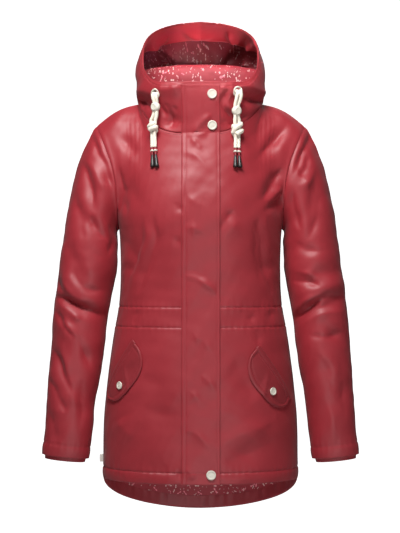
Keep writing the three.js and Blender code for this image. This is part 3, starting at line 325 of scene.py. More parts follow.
# Finer creases in the same views, each bent through a middle point
CREASE_COLUMNS = ("x0", "z0", "xm", "zm", "x1", "z1", "wide", "high")
CREASES = {
    ("body", "front"): [
        (-110, -203, -116, -262, -141, -330, 6, -1.9), (-87, -201, -88, -262, -116, -338, 6, -2.2),
        (-100, -214, -104, -258, -128, -320, 9, 1.6), (-142, -64, -118, -110, -98, -146, 15, 0.5),
        (-153, -106, -151, -150, -153, -186, 5, -2.4), (-178, -47, -169, -82, -160, -117, 7, -2.0),
        (-155, -44, -136, -63, -119, -82, 9, -0.6), (-150, -140, -143, -165, -138, -196, 9, -2.4),
        (-44, -176, -38, -184, -30, -196, 5, -1.2), (-58, -240, -44, -246, -32, -262, 6, -1.1),
        (-150, -240, -128, -262, -112, -300, 8, -1.3), (155, -36, 132, -62, 116, -86, 8, -1.1),
        (143, -40, 122, -62, 104, -88, 11, 0.8), (165, -22, 138, -57, 116, -76, 7, -1.6),
        (153, -112, 137, -136, 118, -166, 7, -3.4), (160, -140, 154, -167, 145, -196, 8, -3.6),
        (150, -144, 140, -156, 128, -176, 6, 2.0), (148, -168, 136, -180, 120, -188, 7, -2.6),
        (132, -112, 116, -140, 98, -158, 11, 0.9), (106, -204, 112, -252, 131, -340, 6, -1.8),
        (97, -219, 104, -262, 114, -318, 6, -1.4), (121, -196, 124, -250, 142, -318, 8, 1.4),
        (38, -222, 50, -204, 62, -190, 6, -1.5), (40, -238, 58, -222, 74, -206, 8, 1.0),
        (94, -376, 95, -386, 94, -398, 5, -1.0), (130, -372, 131, -384, 130, -398, 6, -1.1),
        (106, -408, 105, -420, 108, -436, 5, -1.2), (-120, -372, -119, -386, -121, -400, 6, -0.9),
        (-154, -575, -140, -590, -122, -606, 16, 2.2), (-44, -662, -40, -672, -37, -684, 5, -1.6),
        (40, -616, 92, -592, 130, -580, 15, 2.4), (44, -650, 96, -632, 140, -612, 16, -2.0),
        (-136, -470, -108, -496, -66, -512, 20, -1.6), (-128, -540, -84, -560, -46, -566, 18, -1.5),
        (54, -470, 84, -500, 96, -540, 18, -1.5), (-100, -656, -78, -662, -62, -660, 10, -0.9),
    ],
    ("body", "back"): [
        (-60, -60, -38, -130, -22, -196, 14, -2.2), (66, -52, 44, -120, 34, -190, 12, -2.0),
        (-116, -196, -98, -250, -104, -330, 7, -2.0), (-84, -214, -70, -262, -80, -340, 8, -1.6),
        (112, -188, 96, -244, 106, -322, 7, -2.0), (74, -226, 66, -270, 72, -344, 8, -1.4),
        (12, -236, 16, -286, 6, -352, 10, -1.5), (-40, -420, -52, -500, -48, -590, 16, 2.2),
        (58, -414, 62, -494, 52, -604, 18, 2.0), (-128, -430, -116, -520, -126, -600, 16, -1.8),
        (128, -440, 112, -530, 122, -610, 15, -1.8), (6, -440, 2, -530, 8, -640, 17, -1.8),
    ],
    ("sleeve", "front"): [
        (-208, -40, -190, -77, -172, -106, 5, -3.2), (-200, -36, -184, -70, -168, -100, 5, 2.2),
        (-222, -96, -211, -128, -200, -170, 6, -3.2), (-210, -92, -196, -120, -184, -150, 8, 2.2),
        (-180, -102, -170, -124, -162, -150, 8, -3.6), (-206, -196, -194, -220, -180, -242, 6, -2.4),
        (-168, -212, -166, -240, -172, -270, 5, -2.0), (-240, -150, -226, -196, -222, -240, 8, -1.8),
        (-264, -300, -270, -324, -258, -340, 5, -2.6), (-236, -296, -220, -330, -184, -338, 7, -2.6),
        (-256, -318, -240, -346, -212, -356, 7, 2.4), (-276, -349, -229, -363, -180, -385, 4.5, -4.6),
        (-270, -360, -243, -376, -222, -392, 7, 2.8), (-276, -375, -257, -396, -238, -424, 5, -3.0),
        (-262, -386, -244, -404, -228, -424, 6, 2.0), (-229, -420, -214, -458, -206, -484, 6, -2.2),
        (-279, -450, -264, -478, -240, -526, 6, -2.8), (-262, -440, -252, -480, -236, -512, 8, 2.2),
        (-286, -501, -264, -540, -256, -566, 6, -2.2), (-252, -474, -238, -520, -236, -566, 9, 1.6),
        (-218, -500, -222, -540, -224, -590, 8, -1.6), (-290, -560, -276, -590, -270, -622, 8, -1.5),
        (190, -28, 174, -66, 166, -98, 5, -2.0), (197, -35, 180, -73, 169, -116, 5, 3.0),
        (207, -44, 198, -67, 173, -116, 6, -3.6), (206, -82, 196, -108, 184, -120, 6, -3.2),
        (212, -112, 200, -134, 182, -138, 6, 2.6), (172, -152, 178, -190, 188, -222, 6, -2.2),
        (226, -160, 218, -206, 196, -240, 8, -2.0), (178, -246, 206, -262, 232, -262, 7, -2.0),
        (176, -318, 204, -322, 222, -332, 5, -3.2), (180, -300, 206, -306, 226, -318, 6, 2.4),
        (176, -391, 204, -366, 230, -354, 4.5, -4.4), (178, -374, 200, -354, 224, -344, 6, 2.4),
        (222, -352, 246, -346, 270, -350, 6, -2.4), (196, -396, 226, -380, 262, -376, 7, 2.2),
        (206, -420, 234, -424, 268, -412, 6, -2.0), (214, -458, 236, -484, 246, -520, 8, -1.8),
        (262, -470, 268, -520, 264, -570, 9, -1.6), (232, -540, 246, -580, 250, -620, 8, 1.5),
    ],
    ("sleeve", "back"): [
        (-196, -60, -182, -104, -170, -150, 7, -2.8), (-238, -200, -216, -236, -184, -258, 8, -2.6),
        (-262, -300, -228, -318, -188, -316, 7, -2.6), (-266, -370, -236, -384, -196, -380, 7, -3.0),
        (-270, -402, -240, -410, -206, -404, 8, 2.2), (-246, -500, -240, -560, -246, -616, 9, -1.8),
        (198, -64, 184, -110, 170, -146, 7, -2.8), (240, -196, 214, -230, 182, -262, 8, -2.6),
        (264, -292, 226, -306, 188, -318, 7, -2.6), (268, -362, 238, -372, 196, -386, 7, -3.0),
        (272, -396, 244, -404, 208, -408, 8, 2.2), (250, -494, 244, -552, 250, -612, 9, -1.8),
    ],
    ("placket", "front"): [
        (-29, -312, 2, -318, 28, -342, 6, 1.6), (-30, -300, -4, -302, 20, -322, 7, -0.5),
        (4, -494, 16, -500, 27, -518, 6, 1.3), (-28, -594, -6, -598, 17, -622, 6, 1.5),
        (-26, -520, -10, -528, -2, -540, 6, 1.0), (18, -10, 0, -26, -14, -50, 6, 1.9),
        (14, -40, -6, -50, -25, -50, 5, 1.6), (-20, -58, -8, -64, 2, -76, 5, 1.3),
        (-26, -84, -6, -90, 10, -108, 7, 1.2), (-24, -160, -12, -172, 4, -180, 7, 1.1),
        (-28, -226, -14, -222, 6, -230, 7, 1.2), (-14, -424, 4, -428, 22, -446, 8, 1.2),
        (-30, -662, -18, -672, -12, -684, 5, 1.2),
    ],
    ("hood", "front"): [
        (72, 20, 98, 23, 124, 15, 6, -6.0), (66, 42, 98, 42, 126, 34, 11, 4.0),
        (-126, 20, -110, 14, -90, -2, 7, -5.0), (-122, 42, -104, 36, -84, 28, 11, 3.0),
        (-84, 40, -58, 38, -36, 44, 15, 4.0), (-74, -18, -54, -24, -34, -26, 13, -4.0),
        (36, 42, 50, 36, 66, 24, 9, 2.4), (38, -26, 54, -22, 72, -14, 12, -2.4),
        (-76, 14, -70, -4, -71, -26, 5, -2.8), (-63, 12, -59, -8, -58, -34, 5, -3.0),
        (-50, 8, -46, -10, -47, -32, 5, -2.4), (-38, 22, -38, -8, -37, -36, 6, -1.1),
        (52, 36, 44, 8, 60, -22, 5, -3.6), (58, 24, 50, 6, 62, -10, 5, 2.0),
        (92, 30, 86, 16, 92, 2, 7, -2.0), (84, -8, 74, -22, 54, -30, 6, -1.8),
        (-98, 20, -92, 2, -96, -18, 7, -1.8),
    ],
}

# Folds of the hood's facing towards the wearer, and of its lining, by place in the front view
FACING_DEPTH = 2.6
FACING_FOLDS = [
    (-104, 118, -90, 140, -64, 158, 5, 5.0),
    (-92, 108, -74, 132, -50, 146, 6, -1.5),
    (-40, 172, -10, 162, 22, 160, 6, 3.0),
    (27, 124, 32, 140, 48, 152, 6, 5.5),
    (52, 168, 62, 152, 66, 138, 5, 3.0),
    (74, 140, 86, 128, 106, 104, 5, 5.5),
    (92, 150, 98, 132, 108, 120, 6, 3.0),
]
LINING_FOLDS = [
    (-84, 128, -70, 112, -66, 94, 7, 4.0),
    (-46, 134, -40, 116, -44, 98, 6, 3.0),
    (-12, 142, -4, 120, -10, 100, 8, 3.5),
    (22, 134, 30, 116, 24, 98, 6, 3.5),
    (58, 132, 62, 112, 70, 96, 7, 4.0),
    (92, 118, 92, 104, 96, 90, 6, 3.5),
]

# Sewn lines, in millimetres: where they lie and how the cloth dips and puckers along them
WAIST_LINES = (-367, -404)
HEM_STITCH_UP = 20
SLEEVE_STITCH_UP = 21
RIM_STITCH_IN = 9
PLACKET_STITCH = {"left": 7, "right": 4, "top": 5}
SEAM_STITCH_IN = 4.0
COLLAR_SEAMS = (-45, 20.5)
GROOVE = {"wide": 1.7, "deep": 0.95, "lip": 0.28, "pucker": 0.34, "reach": 10, "pitch": 13}
FINE_ROWS = (-3.4, -2.2, -1.1, 0.0, 1.1, 2.2, 3.4)
SEAM = {"wide": 2.6, "deep": 0.9, "ridge": 0.35, "ridge_at": 5.5, "ridge_wide": 3}
CREASE_STEPS = 8
CREASE_SHARPNESS = 1.55


def clamp(value, low=0.0, high=1.0):
    return np.minimum(np.maximum(value, low), high)


def mix(a, b, share):
    return a + (b - a) * share


def ease(low, high, value):
    share = clamp((value - low) / (high - low))
    return share * share * (3 - 2 * share)


def bell(away, wide):
    """A smooth bump, 1 where away is 0."""
    return np.exp(-((away / wide) ** 2))


def vec(x, y, z):
    return np.stack(np.broadcast_arrays(x, y, z), axis=-1).astype(float)


def unit(vectors):
    return vectors / np.maximum(np.linalg.norm(vectors, axis=-1, keepdims=True), 1e-12)


def cubic(start, start_pull, end, end_pull, t):
    t2, t3 = t * t, t * t * t
    from_start = start * (2 * t3 - 3 * t2 + 1) + start_pull * (t3 - 2 * t2 + t)
    return from_start + end * (3 * t2 - 2 * t3) + end_pull * (t3 - t2)


def table_value(rows, key, value, name):
    """A smooth curve through one column of a table that is sorted by its key column."""
    keys = np.array([row[key] for row in rows], float)
    values = np.array([row[name] for row in rows], float)
    slopes = np.empty_like(values)
    slopes[1:-1] = (values[2:] - values[:-2]) / (keys[2:] - keys[:-2])
    slopes[0] = (values[1] - values[0]) / (keys[1] - keys[0])
    slopes[-1] = (values[-1] - values[-2]) / (keys[-1] - keys[-2])
    i = np.clip(np.searchsorted(keys, value) - 1, 0, len(keys) - 2)
    step = keys[i + 1] - keys[i]
    t = clamp((value - keys[i]) / step)
    return cubic(values[i], slopes[i] * step, values[i + 1], slopes[i + 1] * step, t)


def quarter_point(half, deep, share):
    """Point on a quarter of a rounded section, by the share of its arc from the centre."""
    steps = 60
    power = 2 / ROUNDNESS
    angle = np.linspace(0, math.pi / 2, steps + 1)
    x = half[:, None] * np.sin(angle) ** power
    y = deep[:, None] * np.maximum(np.cos(angle), 0) ** power
    y[:, -1] = 0
    arc = np.zeros_like(x)
    arc[:, 1:] = np.cumsum(np.hypot(np.diff(x), np.diff(y)), axis=1)
    wanted = clamp(share) * arc[:, -1]
    i = np.clip((arc < wanted[:, None]).sum(axis=1), 1, steps)
    row = np.arange(len(i))
    t = (wanted - arc[row, i - 1]) / (arc[row, i] - arc[row, i - 1])
    return mix(x[row, i - 1], x[row, i], t), mix(y[row, i - 1], y[row, i], t), arc[:, -1]


def section_point(z, share, side, back):
    half = table_value(BODY_SECTIONS, "z", z, "half")
    deep = table_value(BODY_SECTIONS, "z", z, "back" if back else "front")
    x, y, _ = quarter_point(half, deep, share)
    return vec(side * x, y if back else -y, z)


def front_arc(z):
    half = table_value(BODY_SECTIONS, "z", z, "half")
    deep = table_value(BODY_SECTIONS, "z", z, "front")
    return quarter_point(half, deep, np.zeros_like(half))[2]


def neck_point(angle, side):
    """Neck seam by its angle, from 0 at the centre front to 180 at the centre back."""
    sine = np.maximum(np.sin(np.radians(angle)), 0)
    cosine = np.cos(np.radians(angle))
    front = angle <= 90
    y = NECK["y"] - cosine * np.where(front, NECK["front"], NECK["back"])
    rise = np.where(front, np.where(side > 0, NECK_RISE_LEFT, NECK_RISE_RIGHT), 2)
    base = np.where(front, NECK["front_z"], NECK["back_z"])
    return vec(side * NECK["half"] * sine, y, base + (NECK["side_z"] - base) * sine ** rise)


def top_point(share, side, back):
    """Upper edge of a front or back: the neck seam, then the shoulder seam."""
    angle = 90 * np.minimum(share, NECK_SHARE) / NECK_SHARE
    neck = neck_point(180 - angle if back else angle, side)
    along = clamp((share - NECK_SHARE) / (1 - NECK_SHARE))
    start = neck_point(np.full_like(share, 90.0), side)
    arch = SHOULDER_ARCH * np.sin(math.pi * along)
    z = mix(start[..., 2], SHOULDER_TIP["z"], along) + arch
    x = mix(start[..., 0], side * SHOULDER_TIP["x"], along)
    shoulder = vec(x, mix(start[..., 1], SHOULDER_TIP["y"], along), z)
    return np.where((share <= NECK_SHARE)[..., None], neck, shoulder)


def armhole_point(share, side, back):
    rows = ARMHOLE_BACK if back else ARMHOLE_FRONT
    x, y, z = (table_value(rows, "share", share, name) for name in "xyz")
    return vec(side * x, y, z)


def bent_up(share, rise, side, back):
    """Body above the underarm, from its section there to the upper edge."""
    reach = 20
    z = np.full_like(share, float(UNDERARM_Z))
    start = section_point(z, share, side, back)
    below = section_point(z - reach, share, side, back)
    end = top_point(share, side, back)
    height = end[..., 2] - start[..., 2]
    start_pull = (start - below) * (height / reach)[..., None]
    to_shoulder = ease(0.4, 0.8, share)
    inward = -1 if back else 1
    up = mix(height * 0.95, 12, to_shoulder)
    end_pull = vec(0 * share, inward * mix(60, 165, to_shoulder), up)
    return cubic(start, start_pull, end, end_pull, rise[..., None])


def soft_up(share, rise, side, back):
    """Softens the corner that neck and shoulder seam make, the more the further below them."""
    near = bell(share - NECK_SHARE, SHOULDER_EASE["reach"])
    fade = ease(0, SHOULDER_EASE["fade"], 1 - rise) * ease(0, 0.4, rise) * ease(0, 0.15, 1 - share)
    spread = SHOULDER_EASE["spread"] * near * fade
    point = 0.0
    steps = np.linspace(-2, 2, 9)
    weights = np.exp(-steps ** 2 / 2)
    for step, weight in zip(steps, weights / weights.sum()):
        point = point + bent_up(clamp(share + step * spread, 0, 1), rise, side, back) * weight
    return point


def body_point(share, level, side, back):
    """Body by share and level: 0 at the hem, 1 at the underarm, 2 at the upper edge."""
    side = np.broadcast_to(np.asarray(side, float), share.shape)
    out = np.empty((len(share), 3))
    low = level <= 1
    hem = HEM_Z - (TAIL_DROP * (1 - share ** 2) if back else 0 * share)
    z = mix(hem, UNDERARM_Z, level)
    out[low] = section_point(z[low], share[low], side[low], back)
    high = ~low
    if high.any():
        part, rise, hand = share[high], level[high] - 1, side[high]
        seam = armhole_point(rise, hand, back) - bent_up(np.ones_like(part), rise, hand, back)
        out[high] = soft_up(part, rise, hand, back) + seam * (part ** 4)[..., None]
    return out


def segment_distance(x, z, x0, z0, x1, z1):
    """Distance to a line's piece in the view plane, and the share along it."""
    dx, dz = x1 - x0, z1 - z0
    near = clamp(((x - x0) * dx + (z - z0) * dz) / (dx * dx + dz * dz))
    return np.hypot(x - x0 - dx * near, z - z0 - dz * near), near


def fold_height(point, normal):
    """Height of the large folds, as in the solids."""
    x, z = point[..., 0], point[..., 2]
    facing = clamp(np.abs(normal[..., 1]) * 1.6)
    forward = normal[..., 1] < 0
    height = np.zeros_like(x)
    for fold in FOLDS:
        away, near = segment_distance(x, z, fold["x0"], fold["z0"], fold["x1"], fold["z1"])
        ends = np.sin(math.pi * mix(0.12, 0.88, near))
        mine = forward if fold["face"] == "front" else ~forward
        height += mine * fold["high"] * ends * bell(away, fold["wide"])
    return height * facing


def crease_shape(x, z, row):
    """One crease: a soft line, bent through its middle point and uneven along its length."""
    x0, z0, xm, zm, x1, z1 = (row[name] for name in ("x0", "z0", "xm", "zm", "x1", "z1"))
    reach = 3 * row["wide"]
    xs, zs = (x0, xm, x1), (z0, zm, z1)
    inside = (x > min(xs) - reach) & (x < max(xs) + reach)
    inside &= (z > min(zs) - reach) & (z < max(zs) + reach)
    height = np.zeros_like(x)
    if not inside.any():
        return height
    px, pz = x[inside], z[inside]
    best = np.full_like(px, 1e9)
    along = np.zeros_like(px)
    ts = np.linspace(0, 1, CREASE_STEPS + 1)
    bend = lambda a, m, b: (1 - ts) ** 2 * a + 2 * ts * (1 - ts) * (2 * m - (a + b) / 2) + ts ** 2 * b
    cx, cz = bend(x0, xm, x1), bend(z0, zm, z1)
    for k in range(CREASE_STEPS):
        away, near = segment_distance(px, pz, cx[k], cz[k], cx[k + 1], cz[k + 1])
        closer = away < best
        best = np.where(closer, away, best)
        along = np.where(closer, (k + near) / CREASE_STEPS, along)
    uneven = 1 + 0.25 * np.sin(9 * along + 0.37 * x0)
    wide = row["wide"] * (0.75 + 0.5 * np.sin(math.pi * along))
    ends = np.sin(math.pi * mix(0.03, 0.97, along)) ** 0.8
    height[inside] = ends * uneven * np.exp(-((best / wide) ** CREASE_SHARPNESS))
    return height


def crease_height(point, normal, part):
    """Height of the finer creases of one part of the coat."""
    x = point[..., 0] + 1.6 * np.sin(point[..., 2] / 17) + 0.9 * np.sin(point[..., 2] / 7.3)
    z = point[..., 2] + 1.4 * np.sin(point[..., 0] / 13)
    facing = clamp(np.abs(normal[..., 1]) * (5 if part == "hood" else 1.8))
    forward = normal[..., 1] < 0
    height = np.zeros_like(x)
    for (owner, face), rows in CREASES.items():
        if owner != part:
            continue
        mine = forward if face == "front" else ~forward
        for values in rows:
            row = dict(zip(CREASE_COLUMNS, values))
            height += mine * row["high"] * crease_shape(x, z, row)
    return height * facing * bpy.context.scene.raincoat_cloth.crease_depth


# Long shallow waves that keep a panel from looking pressed: direction, wavelength and height
RUMPLE = table(
    "x y z length high phase",
    (1.0, 0.4, 0.35, 96, 0.55, 0.4),
    (-0.6, 0.3, 0.8, 71, 0.45, 2.1),
    (0.8, -0.5, -0.7, 47, 0.28, 4.4),
    (0.3, 0.9, 1.0, 33, 0.16, 1.2),
    (-1.0, 0.6, 0.5, 24, 0.09, 5.3),
)


def rumple(point):
    x, y, z = (point[..., k] for k in range(3))
    bent = 14 * np.sin(x / 61 + z / 83) + 9 * np.sin(z / 39 - y / 52)
    height = np.zeros_like(x)
    for wave in RUMPLE:
        along = wave["x"] * x + wave["y"] * y + wave["z"] * z + bent
        height += wave["high"] * np.sin(2 * math.pi * along / wave["length"] + wave["phase"])
    return height


def groove(away, along):
    """A sewn line: the cloth dips at it and puckers beside it."""
    dip = -GROOVE["deep"] * bell(away, GROOVE["wide"])
    dip = dip + GROOVE["lip"] * bell(away + 4.2, 2.4)
    waves = np.sin(2 * math.pi * along / GROOVE["pitch"] + 1.7 * np.sin(along / 31))
    return dip + GROOVE["pucker"] * waves * bell(away, GROOVE["reach"])


def seam_dip(away):
    """A joined seam: the edge dips, and the cloth rises over its allowance."""
    dip = -SEAM["deep"] * bell(away, SEAM["wide"])
    return dip + SEAM["ridge"] * bell(away - SEAM["ridge_at"], SEAM["ridge_wide"])


def surface_normal(surface, u, v, outward, step=0.004):
    across = surface(u + step, v) - surface(u - step, v)
    along = surface(u, v + step) - surface(u, v - step)
    return unit(np.cross(across, along)) * outward


def folded_body(share, level, side, back, raised=0.0, detail=None):
    """Front or back with its folds and creases; raised lifts a piece that lies on it."""
    side = np.broadcast_to(np.asarray(side, float), share.shape)
    surface = lambda u, v: body_point(u, clamp(v, 0, 2), side, back)
    outward = (-side if back else side)[..., None]
    inside = clamp(share, 0.01, 0.99)
    normal = surface_normal(surface, inside, clamp(level, 0.01, 1.99), outward)
    edge = ease(0, 0.16, 1 - share) * ease(0, 0.2, 2 - level)
    fade = np.where(level > 1, edge, 1.0)
    point = surface(share, level)
    height = fold_height(point, normal) * fade + crease_height(point, normal, "body") * fade
    height += rumple(point) * fade * ease(0, 0.12, 1 - share)
    if detail is not None:
        height += detail(share, level, point)
    return point + normal * (height + raised)[..., None], normal


def sleeve_ring(z, turn, side, inset=0.0):
    """Sleeve: turn 0 is the underarm, 0.25 the front, 0.5 the outer side."""
    at = lambda name: table_value(SLEEVE_SECTIONS, "z", z, name)
    angle = 2 * math.pi * turn
    reach = 6
    below = table_value(SLEEVE_SECTIONS, "z", z - reach, "x")
    above = table_value(SLEEVE_SECTIONS, "z", z + reach, "x")
    slope = clamp((below - above) / (2 * reach), -MOST_SLEEVE_SLOPE, MOST_SLEEVE_SLOPE)
    out = unit(vec(1 + 0 * slope, 0 * slope, slope))
    wide = -np.cos(angle) * (at("half") - inset)
    deep = -np.sin(angle) * (at("deep") - inset)
    return vec(side * (at("x") + out[..., 0] * wide), at("y") + deep, z + out[..., 2] * wide)


def sleeve_point(turn, level, side):
    lower = sleeve_ring(mix(CAP_END_Z, SLEEVE_END_Z, clamp(level - 1)), turn, side)
    back = (turn > 0.5)[..., None]
    front_seam = armhole_point(clamp(2 * turn), side, False)
    back_seam = armhole_point(clamp(2 - 2 * turn), side, True)
    start = np.where(back, back_seam, front_seam)
    end = sleeve_ring(np.full_like(turn, float(CAP_END_Z)), turn, side)
    length = np.linalg.norm(start - end, axis=-1, keepdims=True)
    high = (1 - np.cos(2 * math.pi * turn)) / 2
    sway = -0.2 * np.sin(2 * math.pi * turn)
    start_pull = vec(side * mix(0.75, 0.42, high), sway, -mix(0.66, 0.55, high)) * length
    end_pull = vec(side * 0.1, -0.03, -0.99 + 0 * turn) * length
    cap = cubic(start, start_pull, end, end_pull, clamp(level)[..., None])
    return np.where((level >= 1)[..., None], lower, cap)


def folded_sleeve(turn, level, side, detail=None):
    surface = lambda u, v: sleeve_point(u % 1.0, clamp(v, 0, 2), side)
    normal = surface_normal(surface, turn, clamp(level, 0.01, 1.99), -side)
    point = surface(turn, level)
    fade = ease(0, 0.5, level) * ease(0, 0.12, 2 - level)
    soft = ease(0, 0.16, level) * ease(0, 0.05, 2 - level)
    height = fold_height(point, normal) * fade
    height += (crease_height(point, normal, "sleeve") + rumple(point)) * soft
    if detail is not None:
        height += detail(turn, level, point)
    return point + normal * height[..., None], normal


HOOD_ROWS = [{**HOOD[k], **HOOD_PULL[k], "index": k} for k in range(len(HOOD))]


def hood_point(turn, level):
    """Hood by full turn, from the left front edge over the centre back to the right one."""
    side = np.where(turn <= 180, 1.0, -1.0)
    angle = clamp(np.where(turn <= 180, turn, 360 - turn), 0, 180)
    station = clamp(angle / HOOD_STEP, 0, len(HOOD) - 1)
    at = lambda name: table_value(HOOD_ROWS, "index", station, name)
    neck = neck_point(angle, side)
    fold = vec(side * at("fold_x"), at("fold_y"), at("fold_z"))
    roll = vec(0 * side, at("roll_y"), at("roll_z"))
    rise = (fold - neck) * 0.9
    rise[..., 0] += side * 14 * np.sin(np.radians(angle))
    stand = cubic(neck, rise, fold, roll, clamp(level)[..., None])
    rim = vec(side * at("rim_x"), at("rim_y"), at("rim_z"))
    bag = vec(side * at("bag_x"), at("bag_y"), at("bag_z"))
    end = vec(side * at("end_x"), at("end_y"), at("end_z"))
    upper = cubic(fold, bag, rim, end, clamp(level - 1)[..., None])
    return np.where((level <= 1)[..., None], stand, upper)


def hood_at(turn, level, inside=0.0, detail=None):
    """Hood with its folds; inside is how far a layer lies inside the outer one."""
    level = clamp(level, 0, 2)
    place = lambda u, v: hood_point(clamp(u, 0, 360), clamp(v, 0, 2))
    across = place(turn + 0.5, level) - place(turn - 0.5, level)
    along = place(turn, level + 0.01) - place(turn, level - 0.01)
    normal = unit(np.cross(across, along))
    point = place(turn, level)
    edges = ease(0, 0.25, level) * ease(0, 0.2, 2 - level) * ease(0, 8, np.minimum(turn, 360 - turn))
    height = (crease_height(point, normal, "hood") + 0.8 * rumple(point)) * edges
    if detail is not None:
        height += detail(turn, level, point)
    return point + normal * (height - inside)[..., None], normal


def bisect(low, high, too_low, rounds=34):
    for _ in range(rounds):
        middle = (low + high) / 2
        under = too_low(middle)
        low, high = np.where(under, middle, low), np.where(under, high, middle)
    return low


def front_at(x, level, raised=0.0, detail=None):
    """Point on the front, or past level 2 on the chin guard, at a width from the centre."""
    x, level = np.broadcast_arrays(np.asarray(x, float), np.asarray(level, float))
    x, level = x.ravel(), level.ravel()
    side = np.where(x < 0, -1.0, 1.0)
    one = np.ones_like(x)
    zero = np.zeros_like(x)
    on_body = lambda u: body_point(u, clamp(level, 0, 2), one, False)[..., 0] < np.abs(x)
    on_guard = lambda u: hood_point(u, clamp(level - 2, 0, 2))[..., 0] < np.abs(x)
    share = bisect(zero, zero + 0.6, on_body)
    turn = bisect(zero, zero + 60, on_guard)
    low, low_normal = folded_body(share, clamp(level, 0, 2), side, False, raised, detail)
    turn = np.where(side > 0, turn, 360 - turn)
    high, high_normal = hood_at(turn, clamp(level - 2, 0, 2), -raised)
    upper = (level > 2)[..., None]
    return np.where(upper, high, low), np.where(upper, high_normal, low_normal)


def level_at(x, z):
    """Level of the front or chin guard at which a point has a height."""
    x, z = np.atleast_1d(np.asarray(x, float)), np.atleast_1d(np.asarray(z, float))
    low = np.zeros_like(x)
    return bisect(low, low + 4, lambda middle: front_at(x, middle)[0][..., 2] < z, 30)


def pocket_point(pocket, along, down, raised, detail=None):
    """Pocket flap and welt, from the slanted upper edge: along it, and down from it."""
    slant = math.radians(FLAP["slant"])
    arc = pocket["arc"] + along * math.cos(slant) - down * math.sin(slant)
    z = pocket["z"] - along * math.sin(slant) - down * math.cos(slant)
    level = (z - HEM_Z) / (UNDERARM_Z - HEM_Z)
    share = arc / front_arc(z)
    point, normal = folded_body(share, level, pocket["side"], False, raised)
    if detail is not None:
        point = point + normal * detail[..., None]
    return point, normal


def inside_back(share, above, inside):
    """Layers inside the back: share across, and height from the hem."""
    side = np.where(share < 0, -1.0, 1.0)
    reach = np.abs(share)
    hem = HEM_Z - TAIL_DROP * (1 - reach * reach)
    return folded_body(reach, above / (UNDERARM_Z - hem), side, True, -inside)


def facing_fold(point, rows):
    """How far the inner layer of the hood folds away from the outer one."""
    height = np.zeros(len(point))
    for values in rows:
        row = dict(zip(CREASE_COLUMNS, values))
        height += FACING_DEPTH * row["high"] * crease_shape(point[..., 0], point[..., 2], row)
    return height * clamp((point[..., 1] + 40) / 60)


def to_grid(values, rows, columns):
    return values.reshape(rows, columns, -1)


def shell_piece(name, grid, normals, wall, material, closed=False, free=""):
    """A wall of cloth from the grid of its outer points. free names the edges that are folded
    round, of b, t, l and r; the others are cut for a seam."""
    rows, columns = grid.shape[:2]
    inner = grid - normals * wall
    count = rows * columns
    index = np.arange(count).reshape(rows, columns)
    lengths = np.linalg.norm(np.diff(grid, axis=1), axis=-1)
    heights = np.linalg.norm(np.diff(grid, axis=0), axis=-1)
    across = np.linspace(0, lengths.sum(axis=1).mean(), columns)
    if closed:
        gap = np.linalg.norm(grid[:, 0] - grid[:, -1], axis=-1).mean()
        across = np.append(across, across[-1] + gap)
    up = np.linspace(0, heights.sum(axis=0).mean(), rows)
    wide = columns if closed else columns - 1
    i, j = np.meshgrid(np.arange(rows - 1), np.arange(wide), indexing="ij")
    i, j = i.ravel(), j.ravel()
    corner = lambda di, dj: index[i + di, (j + dj) % columns]
    place = lambda di, dj: np.stack([across[j + dj], up[i + di]], axis=-1)
    quads = np.stack([corner(0, 0), corner(0, 1), corner(1, 1), corner(1, 0)], axis=1)
    uvs = np.stack([place(0, 0), place(0, 1), place(1, 1), place(1, 0)], axis=1)
    faces = [quads, quads[:, ::-1] + count]
    maps = [uvs, uvs[:, ::-1]]
    points = [grid.reshape(-1, 3), inner.reshape(-1, 3)]
    total = 2 * count
    for loop in edge_loops(rows, columns, closed):
        ring_points, ring_faces, ring_uvs = edge_strip(
            loop, grid, inner, index, across, up, total, count, wall, free
        )
        points.append(ring_points)
        faces.append(ring_faces)
        maps.append(ring_uvs)
        total += len(ring_points)
    return make_mesh(name, np.concatenate(points), np.concatenate(faces), np.concatenate(maps), material)


def edge_loops(rows, columns, closed):
    """The border as loops of (row, column, edge, inner row, inner column)."""
    top, last = rows - 1, columns - 1
    if closed:
        bottom = [(0, j, "b", 1, j) for j in range(last, -1, -1)]
        upper = [(top, j, "t", top - 1, j) for j in range(columns)]
        return [bottom, upper]
    loop = [(0, j, "b", 1, j) for j in range(last, 0, -1)]
    loop += [(i, 0, "l", i, 1) for i in range(0, top)]
    loop += [(top, j, "t", top - 1, j) for j in range(0, last)]
    loop += [(i, last, "r", i, last - 1) for i in range(top, 0, -1)]
    return [loop]


def edge_strip(loop, grid, inner, index, across, up, total, count, wall, free):
    """The strip that closes a wall at its border, rounded where the edge is folded."""
    i, j, edge, ni, nj = (np.array(column) for column in zip(*loop))
    out = unit(grid[i, j] - grid[ni, nj])
    loose = np.array([name in free for name in edge], float)[:, None]
    size = len(loop)
    points, ids = [], [index[i, j]]
    for step, (share, bulge) in enumerate([(0.15, 0.36), (0.5, 0.5), (0.85, 0.36)]):
        middle = mix(grid[i, j], inner[i, j], share)
        points.append(middle + out * loose * bulge * wall)
        ids.append(total + step * size + np.arange(size))
    ids.append(index[i, j] + count)
    nxt = np.roll(np.arange(size), -1)
    uv = np.stack([across[j], up[i]], axis=-1)
    faces, maps = [], []
    for a, b in zip(ids[:-1], ids[1:]):
        faces.append(np.stack([a, a[nxt], b[nxt], b], axis=1))
        maps.append(np.stack([uv, uv[nxt], uv[nxt], uv], axis=1))
    return np.concatenate(points), np.concatenate(faces), np.concatenate(maps)


def new_object(name, data):
    made = bpy.data.objects.new(name, data)
    bpy.context.scene.collection.objects.link(made)
    return made


